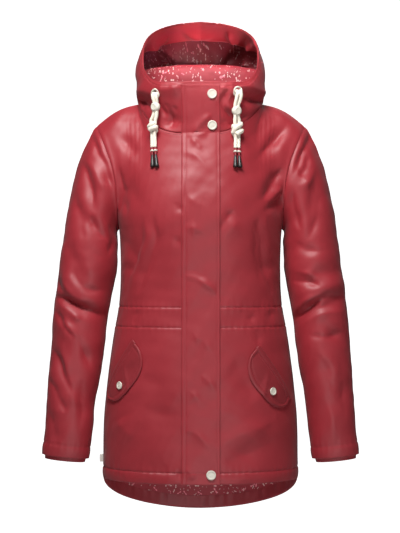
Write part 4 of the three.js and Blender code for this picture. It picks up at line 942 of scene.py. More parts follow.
def make_mesh(name, points, quads, uvs, material, sharp=50):
    """A mesh object at the origin from points in millimetres, turned so its faces look out."""
    a, b, c = (points[quads[:, k]] for k in range(3))
    d = points[quads[:, 3]]
    volume = np.einsum("ij,ij->i", a, np.cross(b, c)) + np.einsum("ij,ij->i", a, np.cross(c, d))
    if volume.sum() < 0:
        quads, uvs = quads[:, ::-1], uvs[:, ::-1]
    mesh = bpy.data.meshes.new(name)
    mesh.vertices.add(len(points))
    mesh.vertices.foreach_set("co", (points * MM).astype(np.float32).ravel())
    mesh.loops.add(quads.size)
    mesh.loops.foreach_set("vertex_index", quads.astype(np.int32).ravel())
    mesh.polygons.add(len(quads))
    mesh.polygons.foreach_set("loop_start", np.arange(0, quads.size, 4, dtype=np.int32))
    layer = mesh.uv_layers.new(name="cloth")
    layer.data.foreach_set("uv", (uvs * MM).astype(np.float32).ravel())
    mesh.update(calc_edges=True)
    mesh.validate()
    mesh.shade_smooth()
    mesh.set_sharp_from_angle(angle=math.radians(sharp))
    mesh.materials.append(material)
    return new_object(name, mesh)


def mounted(piece, slot, *nodes):
    """Ties a finished piece to the coat and to the CAD nodes that it stands for."""
    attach(piece, BODY)
    if nodes:
        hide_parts(*nodes)
    return piece


def declared_sheet(piece, grid, closed=False):
    """States the flat cut of a cloth piece, measured along its rows and columns."""
    ring = np.concatenate([grid, grid[:, :1]], axis=1) if closed else grid
    width = np.linalg.norm(np.diff(ring, axis=1), axis=-1).sum(axis=1).max() * MM
    length = np.linalg.norm(np.diff(ring, axis=0), axis=-1).sum(axis=0).max() * MM
    a = ring[1:, :-1] - ring[:-1, :-1]
    b = ring[:-1, 1:] - ring[:-1, :-1]
    area = np.linalg.norm(np.cross(a, b), axis=-1).sum() * MM * MM
    width, length = max(width, 0.0101), max(length, 0.0101)
    area = min(max(area, 0.31 * width * length), width * length)
    return piece


def pull_back(grid, gaps):
    """Draws the edges of a grid back from their seams."""
    old = grid.copy()
    if gaps.get("b"):
        grid[0] += unit(old[1] - old[0]) * gaps["b"]
    if gaps.get("t"):
        grid[-1] += unit(old[-2] - old[-1]) * gaps["t"]
    if gaps.get("l"):
        grid[:, 0] += unit(old[:, 1] - old[:, 0]) * gaps["l"]
    if gaps.get("r"):
        grid[:, -1] += unit(old[:, -2] - old[:, -1]) * gaps["r"]
    return grid


def sewn_piece(name, node, points, normals, size, wall, material, slot="coated_cloth", closed=False,
               free="", gaps=None):
    """A cloth piece from its outer points: its wall, its CAD node and its flat cut."""
    grid = pull_back(to_grid(points, *size), gaps or {})
    piece = shell_piece(name, grid, to_grid(normals, *size), wall, material, closed, free)
    return declared_sheet(mounted(piece, slot, node), grid, closed)


def cells(length):
    """How many grid cells a length in millimetres gets."""
    return max(2, int(round(length / (bpy.context.scene.raincoat_cloth.cell / MM))))


def grid_of(us, vs):
    v, u = np.meshgrid(vs, us, indexing="ij")
    return u.ravel(), v.ravel(), (len(vs), len(us))


HALF = SEAM_GAP / 2
SEAMED = {"l": HALF, "r": HALF, "t": HALF}
FRONT_WIDE = 236
BODY_HIGH = -HEM_Z + UNDERARM_Z
UPPER_HIGH = 225
SLEEVE_ROUND = 330
CAP_HIGH = 130
SLEEVE_LONG = CAP_END_Z - SLEEVE_END_Z
STAND_HIGH = 90
BAG_HIGH = 190


def two_levels(low_long, high_long):
    """Even rows from level 0 to 1 and on to 2, for the lengths of the two parts."""
    low = np.linspace(0, 1, cells(low_long) + 1)
    return np.concatenate([low, 1 + np.linspace(0, 1, cells(high_long) + 1)[1:]])


def body_levels():
    """Rows of a front or back, closer together at its sewn lines."""
    low = np.linspace(0, 1, cells(BODY_HIGH) + 1)
    near = 0.5 * (low[1] - low[0])
    for line in (*WAIST_LINES, HEM_Z + HEM_STITCH_UP):
        fine = (line - HEM_Z + np.array(FINE_ROWS)) / BODY_HIGH
        apart = np.abs(low[:, None] - fine[None, :]).min(axis=1) > near
        low = np.sort(np.concatenate([low[apart], fine]))
    return np.concatenate([low, 1 + np.linspace(0, 1, cells(UPPER_HIGH) + 1)[1:]])


def body_detail(back):
    """Seams, waist tunnel and hem stitching of a front or back."""
    def height(share, level, point):
        x, z = point[..., 0], point[..., 2]
        side_seam = (1 - share) * FRONT_WIDE
        top_seam = np.where(level > 1, (2 - level) * UPPER_HIGH, UPPER_HIGH)
        out = seam_dip(side_seam) + seam_dip(top_seam)
        along = np.abs(x) + 40 * share
        for line in WAIST_LINES:
            out = out + groove(z - line, along + line)
        hem = HEM_Z - (TAIL_DROP * (1 - share ** 2) if back else 0)
        above = z - hem
        out = out + 1.3 * groove(above - HEM_STITCH_UP, along)
        return out + 1.2 * bell(above - 9, 7)
    return height


def build_fronts():
    shares = np.linspace(0, 1, cells(FRONT_WIDE) + 1)
    for name, side in (("l", 1), ("r", -1)):
        u, v, size = grid_of(shares, body_levels())
        points, normals = folded_body(u, v, side, False, detail=body_detail(False))
        sewn_piece(f"front_panel_{name}", f"front_{name}", points, normals, size, CLOTH_WALL, cloth(),
                   free="b", gaps=SEAMED)


def build_back():
    half = np.linspace(0, 1, cells(FRONT_WIDE) + 1)
    shares = np.concatenate([-half[:0:-1], half])
    u, v, size = grid_of(shares, body_levels())
    side = np.where(u < 0, -1.0, 1.0)
    points, normals = folded_body(np.abs(u), v, side, True, detail=body_detail(True))
    sewn_piece("back_panel", "back", points, normals, size, CLOTH_WALL, cloth(), free="b", gaps=SEAMED)


def sleeve_detail(turn, level, point):
    """Armhole seam, underarm seam and the stitched sleeve hem."""
    top = np.where(level < 1, level * CAP_HIGH, CAP_HIGH)
    under = np.minimum(turn, 1 - turn) * SLEEVE_ROUND
    above = (2 - level) * SLEEVE_LONG
    out = seam_dip(top) + 0.8 * seam_dip(under)
    out = out + groove(above - SLEEVE_STITCH_UP, turn * SLEEVE_ROUND)
    return out + 0.8 * bell(above - 10, 7)


def build_sleeves():
    count = cells(SLEEVE_ROUND)
    turns = np.arange(count) / count
    for name, side in (("l", 1), ("r", -1)):
        u, v, size = grid_of(turns, two_levels(CAP_HIGH, SLEEVE_LONG))
        points, normals = folded_sleeve(u, v, side, sleeve_detail)
        sewn_piece(f"sleeve_tube_{name}", f"sleeve_{name}", points, normals, size, CLOTH_WALL, cloth(),
                   closed=True, free="t", gaps={"b": HALF})


def build_cuffs():
    count = cells(SLEEVE_ROUND)
    turns = np.arange(count) / count
    downs = np.linspace(CUFF_SECTIONS[0]["down"], CUFF_SECTIONS[-1]["down"], 16)
    for name, side in (("l", 1), ("r", -1)):
        u, v, size = grid_of(turns, downs)
        inset = table_value(CUFF_SECTIONS, "down", v, "inset")
        points = sleeve_ring(np.full_like(u, float(SLEEVE_END_Z)), u, side, inset)
        ribs = 0.25 * np.sin(2 * math.pi * u * 46) * ease(-26, -8, v)
        points[..., 2] -= v
        points[..., 0] += side * v * CUFF_LEAN
        grid = to_grid(points, *size)
        across = np.roll(grid, -1, axis=1) - np.roll(grid, 1, axis=1)
        along = np.gradient(grid, axis=0)
        normals = unit(np.cross(across, along)) * -side
        points = grid + normals * to_grid(ribs, *size)
        sewn_piece(f"storm_cuff_{name}", f"cuff_{name}", points, normals, size, LINING_WALL, cloth(),
                   closed=True, free="t")


def hood_detail(turn, level, point):
    """Seams of the hood, its neck seam and the stitched rim."""
    inner = np.minimum(np.abs(turn - HOOD_SEAM_ANGLE), np.abs(turn - 360 + HOOD_SEAM_ANGLE))
    centre_seam = inner * 2.1
    neck = np.where(level < 1, level * STAND_HIGH, STAND_HIGH)
    reach = BAG_HIGH * mix(0.28, 1.0, ease(30, 140, np.minimum(turn, 360 - turn)))
    rim = np.where(level > 1, (2 - level) * reach, reach)
    out = seam_dip(centre_seam) + seam_dip(neck)
    return out + 0.9 * groove(rim - RIM_STITCH_IN, turn * 2.2)


def build_hood():
    pieces = [
        ("hood_panel_l", "hood_side_l", 0, HOOD_SEAM_ANGLE, "tl"),
        ("hood_panel_r", "hood_side_r", 360 - HOOD_SEAM_ANGLE, 360, "tr"),
        ("hood_strip", "hood_centre", HOOD_SEAM_ANGLE, 360 - HOOD_SEAM_ANGLE, "t"),
    ]
    for name, node, start, end, free in pieces:
        turns = np.linspace(start, end, cells((end - start) * 2.0) + 1)
        u, v, size = grid_of(turns, two_levels(STAND_HIGH, BAG_HIGH))
        points, normals = hood_at(u, v, 0.0, hood_detail)
        gaps = {"b": HALF, "l": HALF, "r": HALF}
        sewn_piece(name, node, points, normals, size, CLOTH_WALL, cloth(), free=free, gaps=gaps)


def inner_hood(name, node, turns, levels_at, folds, material, slot="printed_lining", free="", seams=()):
    """A layer inside the hood, between levels that levels_at gives for each column."""
    steps = np.linspace(0, 1, levels_at["rows"] + 1)
    u, v, size = grid_of(turns, steps)
    level = mix(levels_at["from"](u), levels_at["to"](u), v)
    base, normals = hood_at(u, level, LAYER_STEP)
    inward = facing_fold(base, folds) * ease(0, 0.12, v) * ease(0, 0.06, 1 - v)
    behind = np.where(base[..., 1] > 0, 1.0, 0.0)
    for seam in seams:
        inward = inward + behind * -groove(base[..., 0] - seam, base[..., 2])
    points = base - normals * np.maximum(inward, -0.1)[..., None]
    sewn_piece(name, node, points, normals, size, LINING_WALL, material, slot, free=free)


def facing_level(turn):
    """Where the facing meets the lining: further from the rim at the sides than at the back."""
    angle = np.minimum(turn, 360 - turn)
    return mix(FACING_LEVEL, FACING_LEVEL_BACK, ease(95, 165, angle))


def build_hood_linings():
    low_turn, high_turn = FACING_FROM_ANGLE, 360 - FACING_FROM_ANGLE
    turns = np.linspace(low_turn, high_turn, cells(420) + 1)
    facing = {
        "rows": cells(80),
        "from": lambda u: facing_level(u) + 0.001,
        "to": lambda u: 1.992 + 0 * u,
    }
    # the facing gets the cloth 1.5 times brighter: painted light on its downturned folds
    inner_hood("rim_facing", "hood_facing", turns, facing, FACING_FOLDS, cloth(1.5), "coated_cloth", "t")
    turns = np.linspace(4, 356, cells(640) + 1)
    angle = lambda u: np.minimum(u, 360 - u)
    to_facing = lambda u: ease(CHIN_LINING["angle"], FACING_FROM_ANGLE - 5, angle(u))
    lining = {
        "rows": cells(120),
        "from": lambda u: 1.004 + 0 * u,
        "to": lambda u: mix(CHIN_LINING["level"], facing_level(u), to_facing(u)) - 0.001,
    }
    # the crown lining's colour is darkened to 0.4: painted shade of the hood's hollow
    inner_hood("crown_lining", "hood_lining", turns, lining, LINING_FOLDS, printed(0.4))
    stand = {"rows": cells(STAND_HIGH), "from": lambda u: 0.05 + 0 * u, "to": lambda u: 0.996 + 0 * u}
    inner_hood("stand_lining", "collar_lining", turns, stand, [], printed(), seams=COLLAR_SEAMS)


def build_tail_layers():
    columns = 8 * GATHERS
    shares = np.linspace(-0.97, 0.97, columns + 1)
    ups = np.linspace(1.5, FACING_HEIGHT, 9)
    u, v, size = grid_of(shares, ups)
    uneven = 0.7 + 0.3 * np.sin(u * 41)
    wave = GATHER_HEIGHT * (0.5 + 0.5 * np.cos(u / 0.97 * GATHERS * math.pi)) * uneven
    gathered = mix(0.25, 1.0, ease(1.5, FACING_HEIGHT, v))
    points, normals = inside_back(u, v, LAYER_STEP + 0.3 + wave * gathered)
    sewn_piece("tail_facing", "hem_facing", points, normals, size, LINING_WALL, cloth(), free="b")
    shares = np.linspace(-0.96, 0.96, cells(370) + 1)
    steps = np.linspace(0, 1, cells(330) + 1)
    u, v, size = grid_of(shares, steps)
    hem = HEM_Z - TAIL_DROP * (1 - u * u)
    above = mix(FACING_HEIGHT + 0.4, LINING_TOP_Z - hem, v)
    drape = 1.2 * (1 + np.sin(u * 17 + 1.5 * np.sin(v * 5))) * ease(0, 0.15, v)
    points, normals = inside_back(u, above, LAYER_STEP + 0.5 + drape)
    sewn_piece("tail_lining", "back_lining", points, normals, size, LINING_WALL, printed(), "printed_lining")


def build_placket():
    top = float(level_at(0.0, PLACKET["top"])[0])
    levels = np.concatenate([body_levels(), np.linspace(2, top, cells(STAND_HIGH) + 1)[1:]])
    wide = PLACKET["right"] - PLACKET["left"]
    xs = np.linspace(PLACKET["left"], PLACKET["right"], 2 * cells(wide) + 1)
    u, v, size = grid_of(xs, levels)
    points, normals = front_at(u, v, LAY_GAP + FLAP_WALL)
    own = np.maximum(crease_height(points, normals, "placket"), -0.5)
    edge_r = PLACKET["right"] - u
    edge_l = u - PLACKET["left"]
    own = own * ease(0, 8, edge_r) * ease(0, 8, edge_l)
    z = points[..., 2]
    own = own - 0.55 * bell(edge_l - PLACKET_STITCH["left"], 1.6)
    own = own - 0.3 * bell(edge_r - PLACKET_STITCH["right"], 1.6)
    own = own + 0.5 * bell(edge_l - 3, 2.2)
    own = own - 0.5 * bell(z - PLACKET["top"] + PLACKET_STITCH["top"], 1.8)
    own = own - 0.4 * bell(z - HEM_Z - HEM_STITCH_UP, 2)
    for snap in PLACKET_SNAPS:
        away = np.hypot(u - snap["x"], z - snap["z"])
        own = own - 0.5 * bell(away - SNAP["radius"], 4)
    points = points + normals * own[..., None]
    sewn_piece("storm_placket", "placket", points, normals, size, FLAP_WALL, cloth(), free="btlr")


def flap_depth(share):
    return FLAP["drop"] * np.sqrt(np.maximum(1 - np.abs(2 * share - 1) ** FLAP["bulge"], 0))


def flap_place(pocket, share, step, raised):
    """A pocket flap's point; step 0 is the slanted upper edge and 1 the rounded lower one."""
    inset = mix(0.012, 0.988, share)
    depth = flap_depth(inset)
    down = step * depth
    edge = depth * (1 - step) + 0.01
    ends = np.minimum(share, 1 - share) * FLAP["length"]
    near = np.minimum(edge, ends + 2)
    puff = 1.0 * bell(near - 4, 3.2) - 0.7 * bell(near - 8.5, 1.6)
    away = np.hypot(inset * FLAP["length"] - FLAP["along"], down - FLAP["down"])
    dimple = -0.7 * bell(away - POCKET_SNAP["radius"], 4)
    fold = 1.2 * bell(inset - 0.36 - 0.2 * step, 0.045) * ease(0.1, 0.4, step)
    return pocket_point(pocket, inset * FLAP["length"], down, raised, puff + dimple + fold)


def build_pockets():
    raised = LAY_GAP + FLAP_WALL
    for pocket in POCKETS:
        shares = np.linspace(0, 1, cells(FLAP["length"] * 1.4) + 1)
        steps = np.linspace(1, 0, cells(FLAP["drop"] * 1.6) + 1)
        u, v, size = grid_of(shares, steps)
        points, normals = flap_place(pocket, u, v, raised)
        name = pocket["name"]
        # the flap gets the cloth darkened to 0.8: painted shade on the flap
        sewn_piece(f"flap_{name}", f"pocket_flap_{name}", points, normals, size, FLAP_WALL, cloth(0.8),
                   free="btlr")
        shares = np.linspace(0, 1, cells(FLAP["length"]) + 1)
        downs = -WELT["gap"] - WELT["width"] * np.linspace(0, 1, 8)
        u, v, size = grid_of(shares, downs)
        puff = 0.9 * np.sin(math.pi * clamp((-v - WELT["gap"]) / WELT["width"]))
        points, normals = pocket_point(pocket, u * FLAP["length"], v, raised, puff - 0.5)
        # the welt gets the cloth darkened to 0.8: painted shade on the welt
        sewn_piece(f"welt_{name}", f"pocket_welt_{name}", points, normals, size, FLAP_WALL, cloth(0.8),
                   free="btlr")


def lathe_points(profile, sides):
    angles = np.linspace(0, 2 * math.pi, sides, endpoint=False)
    radius = np.array([row[0] for row in profile])[:, None]
    height = np.array([row[1] for row in profile])[:, None]
    return vec(radius * np.cos(angles), radius * np.sin(angles), height + 0 * angles)


def ring_quads(rows, sides, joined=False):
    """Faces between the rings of a tube, with the row and column of each."""
    index = np.arange(rows * sides).reshape(rows, sides)
    ups = np.arange(rows if joined else rows - 1)
    i, j = (a.ravel() for a in np.meshgrid(ups, np.arange(sides), indexing="ij"))
    upper, turned = (i + 1) % rows, (j + 1) % sides
    return np.stack([index[i, j], index[i, turned], index[upper, turned], index[upper, j]], axis=1), i, j


def end_quads(rows, sides):
    """Faces that close both ends of a tube round two middle points, numbered after its rings."""
    k = np.arange(0, sides, 2)
    nxt = (k + 2) % sides
    base = np.full_like(k, rows * sides)
    top = (rows - 1) * sides
    start = np.stack([base, nxt, k + 1, k], axis=1)
    end = np.stack([base + 1, top + k, top + k + 1, top + nxt], axis=1)
    return np.concatenate([start, end])


def lathe_piece(name, profile, sides, place, material, ring=False, sharp=40):
    """A turned trim. Its profile runs from its base over its face; ring closes it on itself."""
    rows = len(profile)
    quads = ring_quads(rows, sides, ring)[0]
    points = lathe_points(profile, sides).reshape(-1, 3)
    if not ring:
        centres = np.array([[0, 0, profile[0][1]], [0, 0, profile[-1][1]]], float)
        points = np.concatenate([points, centres])
        quads = np.concatenate([quads, end_quads(rows, sides)])
    matrix = np.array(place)
    points = points @ matrix[:3, :3].T + matrix[:3, 3]
    return make_mesh(name, points, quads, np.zeros((len(quads), 4, 2)), material, sharp)


def seat(point, normal):
    """Matrix that stands a turned trim on a point, facing along a normal, in millimetres."""
    turn = Vector(normal).to_track_quat("Z", "Y").to_matrix().to_4x4()
    return Matrix.Translation(Vector(point)) @ turn


def front_seat(x, z, raised):
    level = level_at(x, z)
    point, _ = front_at(x, level, raised)
    base, _ = front_at(x, level, 0.0)
    return seat(point[0], unit(point[0] - base[0]))


def snap_profile(size):
    r, h = size["radius"], size["height"]
    return [
        (r * 0.92, 0), (r * 0.98, h * 0.2), (r, h * 0.5), (r * 0.97, h * 0.78), (r * 0.9, h * 0.96),
        (r * 0.8, h), (r * 0.71, h * 0.93), (r * 0.66, h * 0.8), (r * 0.6, h * 0.77), (r * 0.4, h * 0.82),
        (r * 0.2, h * 0.85), (r * 0.02, h * 0.86),
    ]


def build_snaps():
    on_flap = LAY_GAP + FLAP_WALL + SEAT_GAP - 0.6
    for snap in PLACKET_SNAPS:
        place = front_seat(snap["x"], snap["z"], on_flap)
        piece = lathe_piece(f"{snap['name']}_cap", snap_profile(SNAP), 40, place, ivory())
        mounted(piece, "white_trim", snap["name"])
    for pocket in POCKETS:
        along, down = np.array([float(FLAP["along"])]), np.array([float(FLAP["down"])])
        point, _ = pocket_point(pocket, along, down, on_flap)
        base, _ = pocket_point(pocket, along, down, 0.0)
        place = seat(point[0], unit(point[0] - base[0]))
        node = f"snap_pocket_{pocket['name']}"
        piece = lathe_piece(f"{node}_cap", snap_profile(POCKET_SNAP), 36, place, ivory())
        mounted(piece, "white_trim", node)


def build_eyelets():
    r, hole, h = EYELET["radius"], EYELET["hole"], EYELET["height"]
    ring = [
        (hole, -0.4), (r * 0.98, -0.3), (r, h * 0.3), (r * 0.96, h * 0.7), (r * 0.9, h * 0.92),
        (mix(hole, r, 0.5), h), (mix(hole, r, 0.25), h * 0.9), (hole, h * 0.55),
    ]
    # a near-black disc fills each eyelet's hole: painted shade of the hollow under the ring
    inside = [(hole + 0.3, -0.5), (hole + 0.3, 0.15), (hole * 0.5, 0.12), (0.1, 0.1)]
    for eyelet in EYELETS:
        name = eyelet["name"]
        place = front_seat(eyelet["x"], eyelet["z"], 0.5)
        piece = lathe_piece(f"eyelet_ring_{name}", ring, 40, place, ivory(), ring=True)
        mounted(piece, "white_trim", f"eyelet_{name}")
        piece = lathe_piece(f"eyelet_hole_shade_{name}", inside, 32, place, painted_hole_shade())
        mounted(piece, "cord_tip")


def smooth_route(points, steps):
    """A smooth line through route points, evenly sampled."""
    points = np.asarray(points, float)
    padded = np.vstack([2 * points[0] - points[1], points, 2 * points[-1] - points[-2]])
    fine = []
    for k in range(1, len(padded) - 2):
        t = np.linspace(0, 1, 24, endpoint=False)[:, None]
        pull_a = (padded[k + 1] - padded[k - 1]) / 2
        pull_b = (padded[k + 2] - padded[k]) / 2
        fine.append(cubic(padded[k], pull_a, padded[k + 1], pull_b, t))
    fine = np.vstack(fine + [padded[-2:-1]])
    arc = np.concatenate([[0], np.cumsum(np.linalg.norm(np.diff(fine, axis=0), axis=1))])
    even = np.linspace(0, arc[-1], steps + 1)
    return np.stack([np.interp(even, arc, fine[:, k]) for k in range(3)], axis=1)


def tube_piece(name, route, radius, material):
    """A cord's tube along a route, with its own map: round it and along it."""
    rows, sides = len(route), CORD_SIDES
    tangent = unit(np.gradient(route, axis=0))
    up = np.array([0.0, -1.0, 0.0])
    frames = [unit(up - tangent[0] * (up @ tangent[0]))]
    for k in range(1, rows):
        last = frames[-1]
        frames.append(unit(last - tangent[k] * (last @ tangent[k])))
    normal = np.array(frames)
    across = np.cross(tangent, normal)
    radii = np.full(rows, float(radius))
    radii[[0, -1]] *= 0.5
    angles = np.linspace(0, 2 * math.pi, sides, endpoint=False)
    ring = normal[:, None] * np.cos(angles)[:, None] + across[:, None] * np.sin(angles)[:, None]
    grid = route[:, None] + ring * radii[:, None, None]
    quads, i, j = ring_quads(rows, sides)
    ends = end_quads(rows, sides)
    arc = np.concatenate([[0], np.cumsum(np.linalg.norm(np.diff(route, axis=0), axis=1))])
    turn = 2 * math.pi * radius / sides
    uv = lambda di, dj: np.stack([(j + dj) * turn, arc[i + di]], axis=-1)
    maps = np.stack([uv(0, 0), uv(0, 1), uv(1, 1), uv(1, 0)], axis=1)
    maps = np.concatenate([maps, np.zeros((len(ends), 4, 2))])
    points = np.concatenate([grid.reshape(-1, 3), route[:1], route[-1:]])
    return make_mesh(name, points, np.concatenate([quads, ends]), maps, material, 60)


def strand_point(row, turn, hand):
    across = np.array([math.cos(math.radians(turn)), math.sin(math.radians(turn)), 0.0])
    return np.array([row["x"], row["y"], row["z"]]) + across * hand * row["spread"]


def knot_route(cord, hand):
    """One strand's wraps in the knot: it crosses the front on a slant and loops at the sides."""
    knot = cord["knot"]
    turns = np.linspace(0, 1.7 * math.pi, 40) + (0.35 if hand > 0 else math.pi)
    span = np.linspace(1, -1, len(turns))
    wide = (knot["wide"] - KNOT_STRAND) * (0.7 + 0.3 * np.abs(np.sin(math.pi * span)))
    deep = knot["deep"] - KNOT_STRAND + 1.2
    high = (knot["high"] - KNOT_STRAND) * span + 2.4 * np.sin(turns + 0.6)
    angle = math.radians(cord["turn"])
    across = wide * np.cos(turns)
    front = -deep * np.sin(turns)
    x = knot["x"] + across * math.cos(angle) - front * math.sin(angle)
    y = knot["y"] + across * math.sin(angle) + front * math.cos(angle)
    return smooth_route(vec(x, y, knot["z"] + high)[::3], 70)


def build_cords():
    for cord in CORDS:
        side = cord["name"]
        stop = build_stop(cord)
        for strand, hand in STRANDS:
            route = knot_route(cord, hand)
            wrap = tube_piece(f"knot_wrap_{side}_{strand}", route, KNOT_STRAND, cotton())
            nodes = [f"knot_{side}"] if strand == "a" else []
            mounted(wrap, "cotton_cord", *nodes)
        for strand, hand in STRANDS:
            label = f"{side}_{strand}"
            rows = cord["upper"] + cord["lower"]
            route = smooth_route([strand_point(row, cord["turn"], hand) for row in rows], 90)
            piece = tube_piece(f"drawcord_{label}", route, STRAND_RADIUS, cotton())
            mounted(piece, "cotton_cord", f"cord_upper_{label}", f"cord_lower_{label}")
            tips = build_tip(cord, hand, label)


def build_stop(cord):
    """Cord stop: a flat ball whose round face looks ahead, with a raised ring."""
    r, d = STOP["radius"], STOP["deep"]
    profile = []
    for k in range(1, 15):
        angle = math.pi * k / 18
        profile.append((r * math.sin(angle), -d * math.cos(angle)))
    face = profile[-1][1]
    profile += [(r * 0.55, face + 0.5), (r * 0.46, face + 0.2), (r * 0.3, face + 0.25), (0.2, face + 0.3)]
    angle = math.radians(cord["turn"])
    normal = (math.sin(angle), -math.cos(angle), 0.0)
    middle = cord["stop"]
    place = seat((middle["x"], middle["y"], middle["z"]), normal)
    piece = lathe_piece(f"stop_ball_{cord['name']}", profile, 36, place, ivory())
    return mounted(piece, "white_trim", f"cord_stop_{cord['name']}")


def build_tip(cord, hand, label):
    """Whipped end with a pale ring, and the dipped tip below it."""
    top, end = (strand_point(row, cord["turn"], hand) for row in cord["tip"])
    length = float(np.linalg.norm(end - top))
    place = seat(top, unit(end - top))
    r, wide, collar = TIP["radius"], TIP["end"], TIP["collar"]
    ring = collar * 0.42
    wraps = [(0.3, 0.0), (r * 0.9, 0.1)]
    turns = 9
    for k in range(turns * 2 + 1):
        slim = mix(1.0, 0.62, float(ease(ring, collar * 0.7, collar * k / (turns * 2))))
        wraps.append((r * slim + (0.0 if k % 2 else 0.28), 0.3 + (collar - 0.6) * k / (turns * 2)))
    whipping = lathe_piece(f"whipping_{label}", wraps, 20, place, thread_wrap(), sharp=80)
    mounted(whipping, "coated_cloth")
    pale = [(r + out, ring + up) for out, up in ((0, -1.6), (0.6, -1.1), (0.7, 0), (0.6, 1.1), (0, 1.6))]
    band = lathe_piece(f"pale_ring_{label}", pale, 20, place, ivory())
    mounted(band, "white_trim")
    black = [
        (r * 0.5, collar - 1), (r * 0.66, collar), (r * 0.74, collar + 1), (r * 0.9, collar + 5),
        (wide, length - 8), (wide * 1.2, length - 2), (wide * 1.14, length - 0.8),
        (wide * 0.9, length - 0.1), (0.2, length),
    ]
    tip = lathe_piece(f"tip_{label}", black, 20, place, black_dip(), sharp=60)
    mounted(tip, "cord_tip", f"cord_tip_{label}")
    return [whipping, band, tip]


def build_tab():
    """A folded blank tab in the side seam."""
    z = float(TAB["z"])
    edge = section_point(np.array([z]), np.array([1.0]), -1, False)[0, 0] - SEAM_GAP
    outs = np.linspace(0, TAB["out"], 7)
    zs = np.linspace(z - TAB["height"] / 2, z + TAB["height"] / 2, 8)
    u, v, size = grid_of(outs, zs)
    points = vec(edge - u, -TAB["thick"] / 2 + 0.25 * np.sin(u * 0.6 + v * 0.2), v)
    grid = to_grid(points, *size)
    normals = np.broadcast_to(np.array([0.0, -1.0, 0.0]), grid.shape)
    piece = shell_piece("blank_side_tab", grid, normals, TAB["thick"], tape(), free="btlr")
    mounted(piece, "blank_tab", "side_tab")


def stitch_lines():
    """Every sewn line as a row of points on the cloth, in millimetres."""
    lines = []
    sides = (1, -1)
    lift = 0.25
    for side in sides:
        shares = np.linspace(0.13, 0.995, 60)
        for z in WAIST_LINES + (HEM_Z + HEM_STITCH_UP,):
            level = np.full_like(shares, (z - HEM_Z) / (UNDERARM_Z - HEM_Z))
            lines.append(folded_body(shares, level, side, False, lift, body_detail(False))[0])
    shares = np.linspace(-0.995, 0.995, 120)
    hand = np.where(shares < 0, -1.0, 1.0)
    hem = HEM_Z - TAIL_DROP * (1 - shares ** 2)
    for z in (WAIST_LINES[0] + 0 * hem, WAIST_LINES[1] + 0 * hem, hem + HEM_STITCH_UP):
        level = (z - hem) / (UNDERARM_Z - hem)
        lines.append(folded_body(np.abs(shares), level, hand, True, lift, body_detail(True))[0])
    for side in sides:
        turns = np.linspace(0, 1, 80)
        level = np.full_like(turns, 2 - SLEEVE_STITCH_UP / SLEEVE_LONG)
        lines.append(folded_sleeve(turns, level, side, sleeve_detail)[0])
        shares = np.linspace(0.13, NECK_SHARE, 50)
        level = np.full_like(shares, 2 - SEAM_STITCH_IN / UPPER_HIGH)
        lines.append(folded_body(shares, level, side, False, lift + 0.3, body_detail(False))[0])
    lines += placket_lines() + hood_lines() + pocket_lines()
    return lines


def placket_lines():
    lines = []
    lift = LAY_GAP + FLAP_WALL
    left = PLACKET["left"] + PLACKET_STITCH["left"]
    right = PLACKET["right"] - PLACKET_STITCH["right"]
    top = float(level_at(0.0, PLACKET["top"] - PLACKET_STITCH["top"])[0])
    for levels in (np.linspace(0.02, 2, 160), np.linspace(2, top, 20)):
        lines.append(front_at(left, levels, lift - 0.3)[0])
        lines.append(front_at(right, levels, lift - 0.1)[0])
    xs = np.linspace(left, right, 20)
    lines.append(front_at(xs, np.full_like(xs, top), lift - 0.2)[0])
    low = np.full_like(xs, HEM_STITCH_UP / BODY_HIGH)
    lines.append(front_at(xs, low, lift - 0.2)[0])
    return lines


def hood_lines():
    lines = []
    levels = np.linspace(0.06, 1.98, 120)
    for seam in (HOOD_SEAM_ANGLE, 360 - HOOD_SEAM_ANGLE):
        for hand in (-1, 1):
            turns = np.full_like(levels, seam + hand * 2.2)
            lines.append(hood_at(turns, levels, -0.2, hood_detail)[0])
    turns = np.linspace(8, 352, 240)
    reach = BAG_HIGH * mix(0.28, 1.0, ease(30, 140, np.minimum(turns, 360 - turns)))
    lines.append(hood_at(turns, 2 - RIM_STITCH_IN / reach, -0.2, hood_detail)[0])
    lines.append(hood_at(turns, np.full_like(turns, SEAM_STITCH_IN / STAND_HIGH), -0.2, hood_detail)[0])
    return lines


def pocket_lines():
    lines = []
    for pocket in POCKETS:
        shares = np.linspace(0.03, 0.97, 60)
        depth = flap_depth(mix(0.012, 0.988, shares))
        steps = np.maximum(1 - 8.5 / np.maximum(depth, 9), 0.1)
        lines.append(flap_place(pocket, shares, steps, LAY_GAP + FLAP_WALL + 0.2)[0])
        along = np.linspace(2, FLAP["length"] - 2, 40)
        down = np.full_like(along, 3.5)
        lines.append(pocket_point(pocket, along, down, LAY_GAP + FLAP_WALL + 0.2)[0])
    return lines


